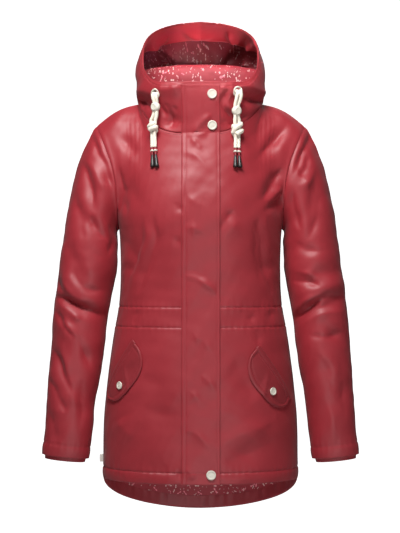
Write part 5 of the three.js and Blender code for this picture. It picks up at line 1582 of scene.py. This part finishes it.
def stitch_tree(material):
    """Geometry Nodes: short rounded stitches along every line, with a set pitch."""
    tree = bpy.data.node_groups.new("stitch_row", "GeometryNodeTree")
    face = tree.interface
    face.new_socket("Geometry", in_out="INPUT", socket_type="NodeSocketGeometry")
    for name, default in (("Pitch", 0.0042), ("Length", 0.003), ("Thickness", 0.0007)):
        socket = face.new_socket(name, in_out="INPUT", socket_type="NodeSocketFloat")
        socket.default_value = default
    face.new_socket("Geometry", in_out="OUTPUT", socket_type="NodeSocketGeometry")
    nodes = tree.nodes
    source = nodes.new("NodeGroupInput")
    lines = nodes.new("GeometryNodeMeshToCurve")
    spots = nodes.new("GeometryNodeCurveToPoints")
    spots.mode = "LENGTH"
    thread = nodes.new("GeometryNodeMeshUVSphere")
    thread.inputs["Segments"].default_value = 6
    thread.inputs["Rings"].default_value = 5
    thread.inputs["Radius"].default_value = 0.5
    size = nodes.new("ShaderNodeCombineXYZ")
    shaped = nodes.new("GeometryNodeTransform")
    copies = nodes.new("GeometryNodeInstanceOnPoints")
    real = nodes.new("GeometryNodeRealizeInstances")
    smooth = nodes.new("GeometryNodeSetShadeSmooth")
    painted = nodes.new("GeometryNodeSetMaterial")
    painted.inputs["Material"].default_value = material
    result = nodes.new("NodeGroupOutput")
    wires = [
        (source, "Geometry", lines, "Mesh"),
        (lines, "Curve", spots, "Curve"),
        (source, "Pitch", spots, "Length"),
        (source, "Thickness", size, "X"),
        (source, "Thickness", size, "Y"),
        (source, "Length", size, "Z"),
        (thread, "Mesh", shaped, "Geometry"),
        (size, "Vector", shaped, "Scale"),
        (spots, "Points", copies, "Points"),
        (spots, "Rotation", copies, "Rotation"),
        (shaped, "Geometry", copies, "Instance"),
        (copies, "Instances", real, "Geometry"),
        (real, "Geometry", smooth, "Geometry"),
        (smooth, "Geometry", painted, "Geometry"),
        (painted, "Geometry", result, "Geometry"),
    ]
    for start, output, end, entry in wires:
        tree.links.new(start.outputs[output], end.inputs[entry])
    return tree


def set_input(modifier, name, value):
    items = modifier.node_group.interface.items_tree
    socket = next(item for item in items if item.name == name and item.in_out == "INPUT")
    modifier[socket.identifier] = value


def build_stitches():
    settings = bpy.context.scene.raincoat_trims
    points, edges = [], []
    for line in stitch_lines():
        start = len(points)
        points += [tuple(point * MM) for point in line]
        edges += [(start + k, start + k + 1) for k in range(len(line) - 1)]
    mesh = bpy.data.meshes.new("stitch_path")
    mesh.from_pydata(points, edges, [])
    path = new_object("stitch_path", mesh)
    modifier = path.modifiers.new("stitches", "NODES")
    modifier.node_group = stitch_tree(thread())
    set_input(modifier, "Pitch", settings.stitch_pitch)
    set_input(modifier, "Length", settings.stitch_length)
    set_input(modifier, "Thickness", settings.stitch_thickness)
    graph = bpy.context.evaluated_depsgraph_get()
    sewn = bpy.data.meshes.new_from_object(path.evaluated_get(graph))
    bpy.data.objects.remove(path)
    mounted(new_object("stitching", sewn), "coated_cloth")


def new_group(name, inputs, outputs):
    """An empty shader node group with its named sockets."""
    group = bpy.data.node_groups.new(name, "ShaderNodeTree")
    for label, kind, default in inputs:
        socket = group.interface.new_socket(label, in_out="INPUT", socket_type=kind)
        if default is not None:
            socket.default_value = default
    for label, kind in outputs:
        group.interface.new_socket(label, in_out="OUTPUT", socket_type=kind)
    return group, group.nodes.new("NodeGroupInput"), group.nodes.new("NodeGroupOutput")


def maths(group, kind, a, b=None, c=None):
    """A Math node; each input is a socket or a number."""
    node = group.nodes.new("ShaderNodeMath")
    node.operation = kind
    for slot, value in enumerate((a, b, c)):
        if value is None:
            continue
        if isinstance(value, (int, float)):
            node.inputs[slot].default_value = value
        else:
            group.links.new(value, node.inputs[slot])
    return node.outputs[0]


def noise(group, vector, scale, detail=3.0, roughness=0.5):
    node = group.nodes.new("ShaderNodeTexNoise")
    node.inputs["Detail"].default_value = detail
    node.inputs["Roughness"].default_value = roughness
    if isinstance(scale, (int, float)):
        node.inputs["Scale"].default_value = scale
    else:
        group.links.new(scale, node.inputs["Scale"])
    group.links.new(vector, node.inputs["Vector"])
    return node.outputs["Fac"]


def grain_group():
    """Fine grain and soft crumple of a cloth face, as a height and a variation mask."""
    found = bpy.data.node_groups.get("cloth_grain")
    if found:
        return found
    group, source, result = new_group(
        "cloth_grain",
        [
            ("Vector", "NodeSocketVector", None),
            ("Grain Scale", "NodeSocketFloat", 900.0),
            ("Grain", "NodeSocketFloat", 0.15),
            ("Crumple Scale", "NodeSocketFloat", 34.0),
            ("Crumple", "NodeSocketFloat", 1.0),
        ],
        [("Height", "NodeSocketFloat"), ("Variation", "NodeSocketFloat")],
    )
    vector = source.outputs["Vector"]
    fine = noise(group, vector, source.outputs["Grain Scale"], 2.0)
    fine = maths(group, "MULTIPLY", fine, source.outputs["Grain"])
    crumple = noise(group, vector, source.outputs["Crumple Scale"], 2.5, 0.45)
    crumple = maths(group, "MULTIPLY", crumple, source.outputs["Crumple"])
    group.links.new(maths(group, "ADD", fine, crumple), result.inputs["Height"])
    group.links.new(noise(group, vector, 7.0, 2.0), result.inputs["Variation"])
    return group


def motif_mask(group, vector, scale, petals, size, thin, seed):
    """Scattered petals or leaves: each cell turns its own motif and some stay empty."""
    nodes, links = group.nodes, group.links
    moved = nodes.new("ShaderNodeVectorMath")
    moved.operation = "ADD"
    moved.inputs[1].default_value = (seed, seed * 0.7, 0.0)
    links.new(vector, moved.inputs[0])
    cell = nodes.new("ShaderNodeTexVoronoi")
    cell.voronoi_dimensions = "2D"
    cell.inputs["Scale"].default_value = scale
    cell.inputs["Randomness"].default_value = 0.85
    links.new(moved.outputs[0], cell.inputs["Vector"])
    local = nodes.new("ShaderNodeVectorMath")
    local.operation = "SUBTRACT"
    links.new(moved.outputs[0], local.inputs[0])
    links.new(cell.outputs["Position"], local.inputs[1])
    parts = nodes.new("ShaderNodeSeparateXYZ")
    links.new(local.outputs[0], parts.inputs[0])
    random = nodes.new("ShaderNodeSeparateColor")
    links.new(cell.outputs["Color"], random.inputs[0])
    x = maths(group, "MULTIPLY", parts.outputs["X"], scale)
    y = maths(group, "MULTIPLY", parts.outputs["Y"], scale)
    squares = maths(group, "ADD", maths(group, "MULTIPLY", x, x), maths(group, "MULTIPLY", y, y))
    radius = maths(group, "SQRT", squares)
    spin = maths(group, "MULTIPLY", random.outputs["Red"], 2 * math.pi)
    angle = maths(group, "ADD", maths(group, "ARCTAN2", y, x), spin)
    lobes = maths(group, "ABSOLUTE", maths(group, "COSINE", maths(group, "MULTIPLY", angle, petals / 2)))
    edge = maths(group, "MULTIPLY", maths(group, "POWER", lobes, thin), size)
    grown = maths(group, "MULTIPLY", edge, maths(group, "ADD", 0.6, random.outputs["Green"]))
    filled = maths(group, "LESS_THAN", radius, grown)
    return maths(group, "MULTIPLY", filled, maths(group, "GREATER_THAN", random.outputs["Blue"], 0.55))


def print_group():
    """The lining's scattered leaf and petal print, as masks for its pale and mid colours."""
    found = bpy.data.node_groups.get("leaf_print")
    if found:
        return found
    group, source, result = new_group(
        "leaf_print",
        [("Vector", "NodeSocketVector", None)],
        [("Pale", "NodeSocketFloat"), ("Mid", "NodeSocketFloat")],
    )
    vector = source.outputs["Vector"]
    leaves = motif_mask(group, vector, 105.0, 2, 0.27, 4.0, 0.013)
    petals = motif_mask(group, vector, 66.0, 5, 0.12, 1.2, 0.031)
    dots = motif_mask(group, vector, 150.0, 1, 0.11, 1.0, 0.057)
    twigs = motif_mask(group, vector, 70.0, 2, 0.32, 6.0, 0.083)
    pale = maths(group, "MAXIMUM", maths(group, "MAXIMUM", leaves, petals), dots)
    group.links.new(pale, result.inputs["Pale"])
    group.links.new(twigs, result.inputs["Mid"])
    return group


def new_material(name):
    """A material with its Principled shader, or the one that already has this name."""
    found = bpy.data.materials.get(name)
    if found:
        return found, None, None
    material = bpy.data.materials.new(name)
    material.use_nodes = True
    tree = material.node_tree
    return material, tree, tree.nodes["Principled BSDF"]


def coordinates(tree, kind="Object"):
    return tree.nodes.new("ShaderNodeTexCoord").outputs[kind]


def use_group(tree, group, vector, **values):
    node = tree.nodes.new("ShaderNodeGroup")
    node.node_tree = group
    tree.links.new(vector, node.inputs["Vector"])
    for name, value in values.items():
        node.inputs[name.replace("_", " ")].default_value = value
    return node


def blend_colours(tree, factor, a, b):
    node = tree.nodes.new("ShaderNodeMix")
    node.data_type = "RGBA"
    tree.links.new(factor, node.inputs["Factor"])
    for socket, value in ((node.inputs["A"], a), (node.inputs["B"], b)):
        if hasattr(value, "is_linked"):
            tree.links.new(value, socket)
        else:
            socket.default_value = (*value, 1.0)
    return node.outputs["Result"]


def coloured(tree, shader, factor, colour, dark, light=1.0):
    """Varies the base colour between a darker and a lighter shade of one colour."""
    shades = [[min(1.0, share * part) for part in colour] for share in (dark, light)]
    tree.links.new(blend_colours(tree, factor, *shades), shader.inputs["Base Color"])


def bumped(tree, shader, height, distance, strength=1.0):
    bump = tree.nodes.new("ShaderNodeBump")
    bump.inputs["Distance"].default_value = distance
    bump.inputs["Strength"].default_value = strength
    tree.links.new(height, bump.inputs["Height"])
    tree.links.new(bump.outputs["Normal"], shader.inputs["Normal"])


def ranged(tree, value, low, high):
    node = tree.nodes.new("ShaderNodeMapRange")
    node.inputs["To Min"].default_value = low
    node.inputs["To Max"].default_value = high
    tree.links.new(value, node.inputs["Value"])
    return node.outputs["Result"]


def cloth(painted_light_tone=1.0):
    """Coated rainwear cloth: deep red, satin, with a fine grain and a soft crumple."""
    material, tree, shader = new_material(f"coated_rainwear_painted_light_{round(100 * painted_light_tone)}")
    if tree is None:
        return material
    colour = bpy.context.scene.raincoat_cloth.cloth_colour
    grain = use_group(
        tree, grain_group(), coordinates(tree), Grain_Scale=850.0, Grain=0.05, Crumple_Scale=30.0
    )
    # the tone factor brightens or darkens the colour as painted light or painted shade
    coloured(tree, shader, grain.outputs["Variation"], colour, 0.82 * painted_light_tone, 1.12 * painted_light_tone)
    tree.links.new(ranged(tree, grain.outputs["Variation"], 0.47, 0.58), shader.inputs["Roughness"])
    shader.inputs["Specular IOR Level"].default_value = 0.5
    shader.inputs["Sheen Weight"].default_value = 0.05
    bumped(tree, shader, grain.outputs["Height"], 0.0009)
    return material


def printed(painted_light_tone=1.0):
    """Lining: woven cloth with a scattered print in white and pink."""
    material, tree, shader = new_material(f"printed_lining_painted_light_{round(100 * painted_light_tone)}")
    if tree is None:
        return material
    settings = bpy.context.scene.raincoat_cloth
    # shades every colour by the tone: painted shade where the tone is below 1
    shade = lambda colour, share=painted_light_tone: [share * part for part in colour]
    marks = use_group(tree, print_group(), coordinates(tree, "UV"))
    grain = use_group(
        tree, grain_group(), coordinates(tree), Grain_Scale=1300.0, Grain=0.2, Crumple_Scale=45.0
    )
    own = settings.lining_colour
    ground = blend_colours(tree, grain.outputs["Variation"], shade(own, 0.8 * painted_light_tone), shade(own))
    mid = blend_colours(tree, marks.outputs["Mid"], ground, shade(settings.print_mid))
    pale = blend_colours(tree, marks.outputs["Pale"], mid, shade(settings.print_pale))
    tree.links.new(pale, shader.inputs["Base Color"])
    shader.inputs["Roughness"].default_value = 0.62
    bumped(tree, shader, grain.outputs["Height"], 0.0012)
    return material


def ivory():
    """Warm white moulded trim with a faint mottle."""
    material, tree, shader = new_material("ivory_trim")
    if tree is None:
        return material
    colour = bpy.context.scene.raincoat_trims.trim_colour
    mottle = noise(tree, coordinates(tree), 240.0)
    coloured(tree, shader, mottle, colour, 0.9)
    tree.links.new(ranged(tree, mottle, 0.34, 0.46), shader.inputs["Roughness"])
    bumped(tree, shader, mottle, 0.0002)
    return material


def cotton():
    """Braided cotton cord: crossing ribs that follow the cord's own map."""
    material, tree, shader = new_material("braided_cotton")
    if tree is None:
        return material
    colour = bpy.context.scene.raincoat_trims.cord_colour
    parts = tree.nodes.new("ShaderNodeSeparateXYZ")
    tree.links.new(coordinates(tree, "UV"), parts.inputs[0])
    round_it = maths(tree, "MULTIPLY", parts.outputs["X"], 6 / (STRAND_RADIUS * MM))
    along = maths(tree, "MULTIPLY", parts.outputs["Y"], 2 * math.pi / 0.0034)
    first = maths(tree, "SINE", maths(tree, "ADD", round_it, along))
    second = maths(tree, "SINE", maths(tree, "SUBTRACT", round_it, along))
    braid = maths(tree, "MAXIMUM", first, second)
    fuzz = noise(tree, coordinates(tree), 1500.0)
    height = maths(tree, "ADD", braid, fuzz)
    # the cord's colour darkens to 0.74 in the braid's grooves: painted shade between the ribs
    shade = ranged(tree, braid, 0.1, 1.0)
    coloured(tree, shader, shade, colour, 0.74)
    shader.inputs["Roughness"].default_value = 0.85
    shader.inputs["Sheen Weight"].default_value = 0.3
    bumped(tree, shader, height, 0.00028)
    return material


def plain_finish(name, colour, roughness, scale, depth):
    """A finish of one colour with fine noise in its shade, gloss and surface."""
    material, tree, shader = new_material(name)
    if tree is None:
        return material
    mottle = noise(tree, coordinates(tree), scale)
    coloured(tree, shader, mottle, colour, 0.8)
    tree.links.new(ranged(tree, mottle, roughness - 0.06, roughness + 0.06), shader.inputs["Roughness"])
    bumped(tree, shader, mottle, depth)
    return material


def black_dip():
    return plain_finish("black_dip", [0.012, 0.010, 0.009], 0.42, 420.0, 0.0002)


# near-black finish of the disc in each eyelet's hole: painted shade
def painted_hole_shade():
    return plain_finish("painted_hole_shade", [0.03, 0.015, 0.012], 0.8, 300.0, 0.0002)


def thread_wrap():
    return plain_finish("whipping_thread", [0.24, 0.014, 0.022], 0.6, 900.0, 0.0002)


def thread():
    return plain_finish("seam_thread", [0.36, 0.03, 0.04], 0.55, 700.0, 0.0001)


def tape():
    return plain_finish("woven_tape", [0.82, 0.78, 0.72], 0.7, 1200.0, 0.0003)


def area_light(name, place, target, size, power, spread=180):
    data = bpy.data.lights.new(name, "AREA")
    data.shape = "RECTANGLE"
    data.size, data.size_y = size
    data.energy = power
    data.spread = math.radians(spread)
    light = new_object(name, data)
    light.location = place
    light.rotation_euler = (Vector(target) - Vector(place)).to_track_quat("-Z", "Y").to_euler()


def stage_plane(name, corners, material):
    mesh = bpy.data.meshes.new(name)
    mesh.from_pydata(corners, [], [(0, 1, 2, 3)])
    mesh.materials.append(material)
    plane = new_object(name, mesh)
    plane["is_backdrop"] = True
    return plane


def white_glow():
    """The lit backdrop: an even near-white."""
    material, tree, shader = new_material("lit_backdrop")
    if tree is None:
        return material
    shader.inputs["Base Color"].default_value = (0.8, 0.8, 0.8, 1)
    shader.inputs["Emission Color"].default_value = (1, 1, 1, 1)
    shader.inputs["Emission Strength"].default_value = bpy.context.scene.raincoat_stage.backdrop
    shader.inputs["Roughness"].default_value = 1.0
    return material


def build_stage():
    """Camera at the photograph's angle, pale floor, lit backdrop and soft lights."""
    stage = bpy.context.scene.raincoat_stage
    data = bpy.data.cameras.new("view")
    data.lens = stage.lens
    data.sensor_width = 36
    data.clip_end = 40
    camera = new_object("view", data)
    camera.location = (-0.00095, -stage.distance, stage.height)
    camera.rotation_euler = (math.radians(90), 0, 0)
    bpy.context.scene.camera = camera
    floor_z, wide = -1.45, 6.0
    floor = plain_finish("pale_floor", [0.82, 0.82, 0.82], 0.7, 3.0, 0.0001)
    corners = [(-wide, -wide), (wide, -wide), (wide, wide), (-wide, wide)]
    stage_plane("floor", [(x, y, floor_z) for x, y in corners], floor)
    back_y, high = 4.4, 4.0
    corners = [(-wide, floor_z), (wide, floor_z), (wide, high), (-wide, high)]
    wall = stage_plane("backdrop", [(x, back_y, z) for x, z in corners], white_glow())
    wall.visible_glossy = False
    wall.visible_diffuse = False
    area_light("key", (-0.25, -1.05, 1.2), (0, -0.05, -0.1), (0.9, 0.5), stage.key)
    area_light("fill", (0.4, -2.4, -0.95), (0, 0, -0.1), (1.4, 0.6), stage.fill)
    area_light("left_strip", (-2.0, -1.1, 0.1), (0, 0, -0.3), (0.5, 1.8), stage.strips)
    area_light("right_strip", (2.0, -1.1, 0.1), (0, 0, -0.3), (0.5, 1.8), stage.strips)
    area_light("hood_light", (0.6, -1.7, -0.2), (0, 0.1, 0.165), (0.12, 0.06), stage.hood, spread=7)
    area_light("rear", (0.6, 2.0, 1.6), (0, 0.1, -0.3), (2.0, 1.4), stage.rear)
    world = bpy.data.worlds.new("studio")
    world.use_nodes = True
    world.node_tree.nodes["Background"].inputs["Color"].default_value = (1, 1, 1, 1)
    world.node_tree.nodes["Background"].inputs["Strength"].default_value = stage.air
    bpy.context.scene.world = world
    bpy.context.scene.view_settings.view_transform = "Standard"


class RaincoatCloth(PropertyGroup):
    cell: FloatProperty(
        name="Cell", description="Size of a cloth mesh cell",
        default=0.0031, min=0.002, max=0.02, unit="LENGTH"
    )
    crease_depth: FloatProperty(
        name="Crease Depth", description="How deep the finer creases are", default=1.9, min=0.0, max=3.0
    )
    cloth_colour: FloatVectorProperty(
        name="Cloth Colour", description="Colour of the coated cloth",
        default=(0.285, 0.0135, 0.022), subtype="COLOR"
    )
    lining_colour: FloatVectorProperty(
        name="Lining Colour", description="Ground of the printed lining",
        default=(0.36, 0.022, 0.036), subtype="COLOR"
    )
    print_pale: FloatVectorProperty(
        name="Pale Print", description="Pale motifs of the lining",
        default=(0.80, 0.52, 0.50), subtype="COLOR"
    )
    print_mid: FloatVectorProperty(
        name="Mid Print", description="Pink motifs of the lining",
        default=(0.78, 0.20, 0.25), subtype="COLOR"
    )


class RaincoatTrims(PropertyGroup):
    trim_colour: FloatVectorProperty(
        name="Trim Colour", description="Snaps, eyelets and stops",
        default=(0.66, 0.62, 0.53), subtype="COLOR"
    )
    cord_colour: FloatVectorProperty(
        name="Cord Colour", description="Braided cotton cord",
        default=(0.90, 0.83, 0.69), subtype="COLOR"
    )
    stitch_pitch: FloatProperty(
        name="Stitch Pitch", description="Distance between stitches", default=0.0042, unit="LENGTH"
    )
    stitch_length: FloatProperty(
        name="Stitch Length", description="Length of a stitch", default=0.0031, unit="LENGTH"
    )
    stitch_thickness: FloatProperty(
        name="Stitch Thickness", description="Thickness of the thread", default=0.0007, unit="LENGTH"
    )


class RaincoatStage(PropertyGroup):
    lens: FloatProperty(name="Lens", description="Focal length", default=127.98, subtype="DISTANCE_CAMERA")
    distance: FloatProperty(name="Distance", description="Camera to coat", default=3.6, unit="LENGTH")
    height: FloatProperty(name="Height", description="Height of the camera", default=-0.2917, unit="LENGTH")
    key: FloatProperty(name="Key", description="Power of the main light", default=52.0)
    fill: FloatProperty(name="Fill", description="Power of the fill light", default=15.0)
    hood: FloatProperty(name="Hood", description="Power of the light on the hood", default=0.13)
    strips: FloatProperty(name="Strips", description="Power of each side light", default=2.2)
    rear: FloatProperty(name="Rear", description="Power of the rear light", default=16.0)
    air: FloatProperty(name="Air", description="Light from all round", default=0.035)
    backdrop: FloatProperty(name="Backdrop", description="Brightness of the backdrop", default=1.0)


def operator_class(idname, label, text, builder):
    """One Operator for a piece or a group of like pieces."""
    def execute(self, context):
        builder()
        return {"FINISHED"}
    body = {"bl_idname": f"raincoat.{idname}", "bl_label": label, "__doc__": text, "execute": execute}
    return type(f"RAINCOAT_OT_{idname}", (Operator,), body)


OPERATORS = [operator_class(*row) for row in (
    ("stage", "Stage", "Camera, lights, floor and backdrop", build_stage),
    ("cords", "Drawcord", "Drawcord strands, stops, knots and tips", build_cords),
    ("fronts", "Fronts", "The two fronts", build_fronts),
    ("back", "Back", "The back with its dropped tail", build_back),
    ("sleeves", "Sleeves", "The two sleeves", build_sleeves),
    ("cuffs", "Cuffs", "The storm cuffs", build_cuffs),
    ("hood", "Hood", "Hood sides and centre strip", build_hood),
    ("hood_linings", "Hood Linings", "Facing and linings of the hood", build_hood_linings),
    ("tail_layers", "Tail Layers", "Facing and lining inside the tail", build_tail_layers),
    ("placket", "Placket", "The storm placket", build_placket),
    ("pockets", "Pockets", "Pocket flaps and welts", build_pockets),
    ("snaps", "Snaps", "Snaps of the placket and pockets", build_snaps),
    ("eyelets", "Eyelets", "Eyelets of the drawcord", build_eyelets),
    ("side_tab", "Side Tab", "The blank tab in the side seam", build_tab),
    ("stitches", "Stitches", "All visible stitching", build_stitches),
)]


class VIEW3D_PT_raincoat(Panel):
    """Lists the coat's pieces"""

    bl_label = "Raincoat"
    bl_space_type = "VIEW_3D"
    bl_region_type = "UI"
    bl_category = "Raincoat"

    def draw(self, context):
        for operator in OPERATORS:
            self.layout.operator(operator.bl_idname)


CLASSES = [RaincoatCloth, RaincoatTrims, RaincoatStage, *OPERATORS, VIEW3D_PT_raincoat]


def register():
    for item in CLASSES:
        bpy.utils.register_class(item)
    bpy.types.Scene.raincoat_cloth = PointerProperty(type=RaincoatCloth)
    bpy.types.Scene.raincoat_trims = PointerProperty(type=RaincoatTrims)
    bpy.types.Scene.raincoat_stage = PointerProperty(type=RaincoatStage)


def unregister():
    del bpy.types.Scene.raincoat_cloth
    del bpy.types.Scene.raincoat_trims
    del bpy.types.Scene.raincoat_stage
    for item in reversed(CLASSES):
        bpy.utils.unregister_class(item)


def main():
    register()
    for operator in OPERATORS:
        name = operator.bl_idname.split(".")[1]
        getattr(bpy.ops.raincoat, name)()
    sizes = {"cad": CAD_BOX, "visual": [list(corner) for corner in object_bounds()]}


if __name__ == "__main__":
    main()
